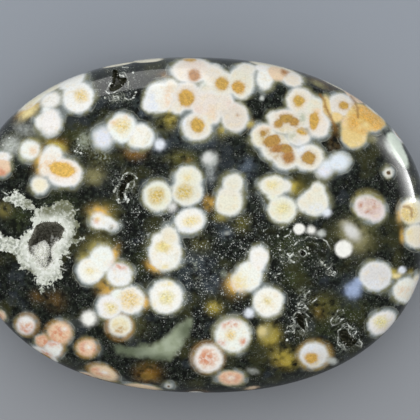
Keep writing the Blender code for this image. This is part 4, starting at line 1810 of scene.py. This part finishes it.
@dataclass
class JasperStone:
    """The stone: its fine mesh, the vugs cut into it, and its finish.

    Args:
        shape: its form.
        markings: its marks.
        large: the large vug.
        small: the small vugs.
        front_cells: cells of the front's mesh from side to side, an even number.
        wall_slot: the material slot of the vugs' walls.
        curve_steps: steps of the curves along which the points are spaced, an even number.
        seam_pull: sets how far in from the front's rim the back's rim lies.
        sharp_degrees: the least angle between two faces whose edge isn't smoothed.
    """

    shape: Pebble
    markings: Markings
    large: LargeVug
    small: Sequence[SmallVug]
    front_cells: int = 268
    wall_slot: int = 1
    curve_steps: int = 4000
    seam_pull: float = 0.25
    sharp_degrees: float = 32.0

    def ring_places(self, cells: int) -> tuple[np.ndarray, np.ndarray]:
        """Where the points of a square grid lie on the oval.

        Args:
            cells: cells of the grid from side to side.

        Returns:
            For each point, its share out to the outline and its share round it.
        """
        line = np.linspace(-1, 1, cells + 1)
        a, b = np.meshgrid(line, line, indexing="ij")
        out = np.maximum(np.abs(a), np.abs(b))
        safe = np.where(out == 0, 1, out)
        level = np.abs(a) >= np.abs(b)
        right, up = a / safe, b / safe
        share = np.select(
            [level & (a > 0), ~level & (b > 0), level & (a < 0)],
            [up / 8, 0.25 - right / 8, 0.5 - up / 8],
            0.75 + right / 8,
        )
        return out, np.mod(share, 1.0)

    def half(self, cells: int, rise: float) -> np.ndarray:
        """Points of the front or the back, evenly spaced on the surface.

        Args:
            cells: cells of its square grid from side to side.
            rise: how far it rises from the widest level.

        Returns:
            The grid's points.
        """
        shape = self.shape
        out, round_it = self.ring_places(cells)
        turn = np.linspace(0, 2 * math.pi, self.curve_steps + 1)
        x, y = shape.rim(turn)
        run = np.concatenate([[0.0], np.cumsum(np.hypot(np.diff(x), np.diff(y)))])
        slope = np.linspace(0, math.pi / 2, self.curve_steps // 2 + 1)
        radius = np.sin(slope) ** (2 / shape.section_power)
        level = np.abs(np.cos(slope)) ** (2 / shape.section_power)
        mean = (shape.length + shape.width) / 4
        arc = np.concatenate([[0.0], np.cumsum(np.hypot(np.diff(radius) * mean, np.diff(level) * rise))])
        radii = np.interp(out, arc / arc[-1], radius)
        heights = shape.equator + rise * np.interp(out, arc / arc[-1], level)
        places = [radii * np.interp(round_it, run / run[-1], line) for line in (x, y)]
        return np.stack([*places, np.maximum(heights, 0.0)], axis=-1)

    @staticmethod
    def edge_loop(cells: int) -> np.ndarray:
        """The grid's outermost points in order, going round."""
        index = np.arange((cells + 1) ** 2).reshape(cells + 1, cells + 1)
        sides = (index[-1, :-1], index[:0:-1, -1], index[0, :0:-1], index[:-1, 0])
        return np.concatenate(sides)

    def fine_mesh(self) -> bpy.types.Mesh:
        """The whole pebble: a fine front, and a back with cells twice as wide."""
        cells = self.front_cells
        front = self.half(cells, self.shape.front_rise).reshape(-1, 3)
        coarse = cells // 2
        back_grid = self.half(coarse, -self.shape.back_drop)
        pulled = 1 - self.seam_pull / coarse
        back_grid[..., :2] *= np.where(self.ring_places(coarse)[0] > 1 - 1e-9, pulled, 1.0)[..., None]
        back = back_grid.reshape(-1, 3)
        edge_back = self.edge_loop(coarse)
        share = pulled**self.shape.section_power
        back[edge_back, 2] -= self.shape.back_drop * (1 - share) ** (1 / self.shape.section_power)
        faces = self.grid_faces(cells) + [row[::-1] for row in self.grid_faces(coarse, len(front))]
        fine, wide = self.edge_loop(cells), edge_back + len(front)
        count = len(wide)
        for here in range(count):
            after = (here + 1) % count
            first, second, third = (fine[(2 * here + k) % (2 * count)] for k in (0, 1, 2))
            faces.append((first, wide[here], second))
            faces.append((second, wide[here], wide[after]))
            faces.append((second, wide[after], third))
        mesh = bpy.data.meshes.new("jasper_stone_fine")
        points = np.concatenate([front, back]) * MM
        mesh.from_pydata(points.tolist(), [], [[int(v) for v in face] for face in faces])
        return mesh

    @staticmethod
    def grid_faces(cells: int, offset: int = 0) -> list[tuple[int, int, int, int]]:
        """The quads of a square grid of points."""
        index = np.arange((cells + 1) ** 2).reshape(cells + 1, cells + 1) + offset
        corners = (index[:-1, :-1], index[1:, :-1], index[1:, 1:], index[:-1, 1:])
        return [tuple(row) for row in np.stack(corners, axis=-1).reshape(-1, 4)]

    def cut(self, stone: bpy.types.Object, lump: bmesh.types.BMesh, name: str) -> None:
        """Cut a lump out of the stone, with the vug walls' finish on the cut.

        Args:
            stone: the stone's object.
            lump: the lump, which is freed.
            name: of the cutter.
        """
        mesh = settled(name, lump)
        for slot in stone.data.materials:
            mesh.materials.append(slot)
        mesh.polygons.foreach_set("material_index", [self.wall_slot] * len(mesh.polygons))
        cutter = mesh_object(name, mesh)
        cut = stone.modifiers.new(name, "BOOLEAN")
        cut.operation = "DIFFERENCE"
        cut.solver = "EXACT"
        cut.object = cutter
        result = evaluated_mesh(stone)
        stone.modifiers.remove(cut)
        stone.data = result
        bpy.data.objects.remove(cutter)

    def build(self) -> bpy.types.Object:
        """Make the stone, with its vugs and its finish."""
        made = mesh_object("polished_stone", self.fine_mesh())
        made.data.materials.append(JasperFinish().make())
        made.data.materials.append(WallFinish().make())
        self.cut(made, self.large.cutter(), "large_vug_cutter")
        for number, vug in enumerate(self.small):
            self.cut(made, vug.cutter(self.shape, self.markings.view), f"small_vug_cutter_{number}")
        mesh = made.data
        self.markings.paint(mesh)
        mesh.shade_smooth()
        mesh.set_sharp_from_angle(angle=math.radians(self.sharp_degrees))
        return made

    def small_vug_walls(self, stone: bpy.types.Object) -> bpy.types.Mesh:
        """A copy of the small vugs' walls alone, for crystals to grow on.

        Args:
            stone: the finished stone.

        Returns:
            The walls' mesh.
        """
        walls = bmesh.new()
        walls.from_mesh(stone.data)
        middle = Vector((*self.large.middle(), 0.0)) * MM
        spare = []
        for face in walls.faces:
            away = (face.calc_center_median() - middle).xy.length
            if face.material_index != self.wall_slot or away < self.large.depth * MM:
                spare.append(face)
        bmesh.ops.delete(walls, geom=spare, context="FACES")
        return settled("small_vug_walls", walls)


@dataclass
class QuartzCrust:
    """The crust of the large vug, with its crystals, as one piece.

    Args:
        vug: the vug that it lines.
        lump_white, lit_wall_white: how white the lump is, and how strong the painted light on the lower right
            wall is.
        blend: how soft the edges of both are.
    """

    vug: LargeVug
    lump_white: float = 1.5
    lit_wall_white: float = 0.48
    blend: float = 0.4

    def milkiness(self, mesh: bpy.types.Mesh) -> None:
        """Store how white each point is: the white lump, and painted light on the lower wall and the lower
        rim.
        """
        flat = mesh_points(mesh)[:, :2]
        lit_wall_outline = self.vug.view.plan_outline(self.vug.stone, LIT_WALL_OUTLINE)
        lump = np.clip(0.8 + signed_distance(flat, self.vug.lump) / self.blend, 0, 1)
        # Painted light: the lower right wall, which faces the light, is whitened
        wall = np.clip(1 + signed_distance(flat, lit_wall_outline) / self.blend, 0, 1)
        milky_and_lit = np.maximum(self.lump_white * lump, self.lit_wall_white * wall)
        rim = -signed_distance(flat, self.vug.mouth)
        # Painted light: the mouth's lower rim is whitened where the light falls on it
        low = np.clip(0.5 - (flat[:, 1] - self.vug.middle()[1]) / 3.0, 0, 1)
        store(mesh, "milky_and_lit", "FLOAT", milky_and_lit + low * np.clip(1 + rim / 0.5, 0, 1))

    def build(self) -> bpy.types.Object:
        """Make the crust and grow its crystals."""
        finish = QuartzFinish("vug_quartz_finish").make()
        cup = self.vug.crust()
        cup.materials.append(finish)
        bed = cup.copy()
        scatter = CrystalScatter("crust_crystals", density=26.0, length=0.42, width=0.26, seed=5)
        crystals = scatter.grow(bed, finish)
        joined = bmesh.new()
        joined.from_mesh(cup)
        joined.from_mesh(crystals)
        mesh = settled("quartz_crust_fine", joined)
        mesh.materials.append(finish)
        self.milkiness(mesh)
        return mesh_object("quartz_druse", mesh)


@dataclass
class SmallVugCrystals:
    """The sparse crystals in the small vugs, as one piece.

    Args:
        walls: the vugs' walls, which they stand on.
        milkiness: how white they are, 0 to 1.
    """

    walls: bpy.types.Mesh
    milkiness: float = 0.42

    def build(self) -> bpy.types.Object:
        """Grow them on the vugs' walls."""
        finish = QuartzFinish("small_vug_quartz_finish", roughness=0.12).make()
        scatter = CrystalScatter("small_vug_crystals", density=1.1, length=0.34, width=0.22, seed=9)
        mesh = scatter.grow(self.walls, finish)
        store(mesh, "milky_and_lit", "FLOAT", np.full(len(mesh.vertices), self.milkiness))
        return mesh_object("small_vug_crystals", mesh)


@dataclass(frozen=True)
class Panel:
    """A soft panel that the polish mirrors; the daylight round it does the lighting.

    Args:
        name: of the lamp.
        azimuth: its bearing from the stone, from +X round to +Y, in degrees.
        elevation: how high it stands, in degrees.
        wide: how much of the horizon it fills, in degrees.
        tall: how much of the height it fills, in degrees.
        glow: how bright it looks.
        distance: from the stone, in metres.
    """

    name: str
    azimuth: float
    elevation: float
    wide: float
    tall: float
    glow: float
    distance: float = 1.0

    def light(self, target: Vector) -> None:
        """Make the lamp, facing the target."""
        lamp = bpy.data.lights.new(self.name, "AREA")
        lamp.shape = "RECTANGLE"
        lamp.size = 2 * self.distance * math.tan(math.radians(self.wide / 2))
        lamp.size_y = 2 * self.distance * math.tan(math.radians(self.tall / 2))
        lamp.energy = self.glow * math.pi * lamp.size * lamp.size_y
        made = bpy.data.objects.new(self.name, lamp)
        around, up = math.radians(self.azimuth), math.radians(self.elevation)
        away = Vector((math.cos(around) * math.cos(up), math.sin(around) * math.cos(up), math.sin(up)))
        made.location = target + away * self.distance
        made.rotation_euler = away.to_track_quat("Z", "Y").to_euler()
        made.visible_diffuse = False
        bpy.context.scene.collection.objects.link(made)


@dataclass
class Studio:
    """The floor, the soft light from all round and the panels that the polish mirrors.

    Args:
        floor_size: in metres.
        daylight: the light from all round.
        key_strength: of the soft key light.
        key_direction: where it comes from.
        key_spread: how wide it is, in degrees.
        target: what the panels face, in metres.
        shoulder: the panel behind the stone.
        glare_levels: how many panels, laid over one another, make the bright window.
        glare_low, glare_rise: the top of the lowest one and the step to the next, in degrees.
        glare_side: the bearing of the window's right edge, in degrees.
        glare_width, glare_spread: the lowest one's width in degrees, and how it grows.
        glare_glow, glare_fade: how bright the lowest one is, and the degrees it fades over.
    """

    floor_size: float = 6.0
    daylight: TRIPLE = (0.775, 0.785, 0.79)
    key_strength: float = 0.94
    key_direction: TRIPLE = (-0.1, 0.36, 1.0)
    key_spread: float = 75.0
    target: TRIPLE = (0.0, 0.0, 0.01)
    shoulder: Panel = Panel("shoulder_panel", 101.0, 17.0, 22.0, 36.0, 2.2)
    glare_levels: int = 14
    glare_low: float = 8.0
    glare_rise: float = 2.0
    glare_side: float = 9.0
    glare_width: float = 12.0
    glare_spread: float = 1.05
    glare_glow: float = 3.5
    glare_fade: float = 9.5

    def glare(self) -> list[Panel]:
        """The bright window low on the right, whose glow fades upwards and to its left."""
        made = []
        for level in range(self.glare_levels):
            climb = self.glare_rise * level
            top = self.glare_low + climb
            wide = self.glare_width + self.glare_spread * climb
            glow = self.glare_glow * math.exp(-climb / self.glare_fade)
            azimuth = self.glare_side + wide / 2
            made.append(Panel(f"glare_panel_{level}", azimuth, top / 2, wide, top, glow))
        return made

    def build(self) -> bpy.types.Object:
        """Make it all, and return the floor."""
        scene = bpy.context.scene
        scene.view_settings.view_transform = "Standard"
        world = bpy.data.worlds.new("studio_daylight")
        world.use_nodes = True
        world.node_tree.nodes["Background"].inputs["Color"].default_value = (*self.daylight, 1.0)
        world.cycles_visibility.glossy = False
        scene.world = world
        sun = bpy.data.lights.new("key_light", "SUN")
        sun.energy = self.key_strength
        sun.angle = math.radians(self.key_spread)
        key = bpy.data.objects.new("key_light", sun)
        key.rotation_euler = Vector(self.key_direction).to_track_quat("Z", "Y").to_euler()
        key.visible_glossy = False
        scene.collection.objects.link(key)
        for panel in (self.shoulder, *self.glare()):
            panel.light(Vector(self.target))
        plane = bmesh.new()
        bmesh.ops.create_grid(plane, x_segments=8, y_segments=8, size=self.floor_size / 2)
        mesh = settled("floor", plane)
        mesh.materials.append(FloorFinish().make())
        return mesh_object("studio_floor", mesh)


def main() -> None:
    """Build the stone, its crystals and the studio round them, in order."""
    logging.basicConfig(level=logging.INFO, format="%(message)s")
    shape, view = Pebble(), PhotoView()
    view.camera(shape)
    Studio().build()
    LOG.info("studio and camera made")

    large = LargeVug(shape, view)
    maker = JasperStone(shape, Markings(shape, view), large, SMALL_VUGS)
    stone = maker.build()
    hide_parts("jasper_stone")
    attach(stone, "root")
    LOG.info("%s made with %d faces", stone.name, len(stone.data.polygons))

    crust = QuartzCrust(large).build()
    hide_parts("quartz_crust")
    crystals = SmallVugCrystals(maker.small_vug_walls(stone)).build()
    for piece in (crust, crystals):
        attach(piece, "root")
        LOG.info("%s made with %d faces", piece.name, len(piece.data.polygons))


if __name__ == "__main__":
    main()
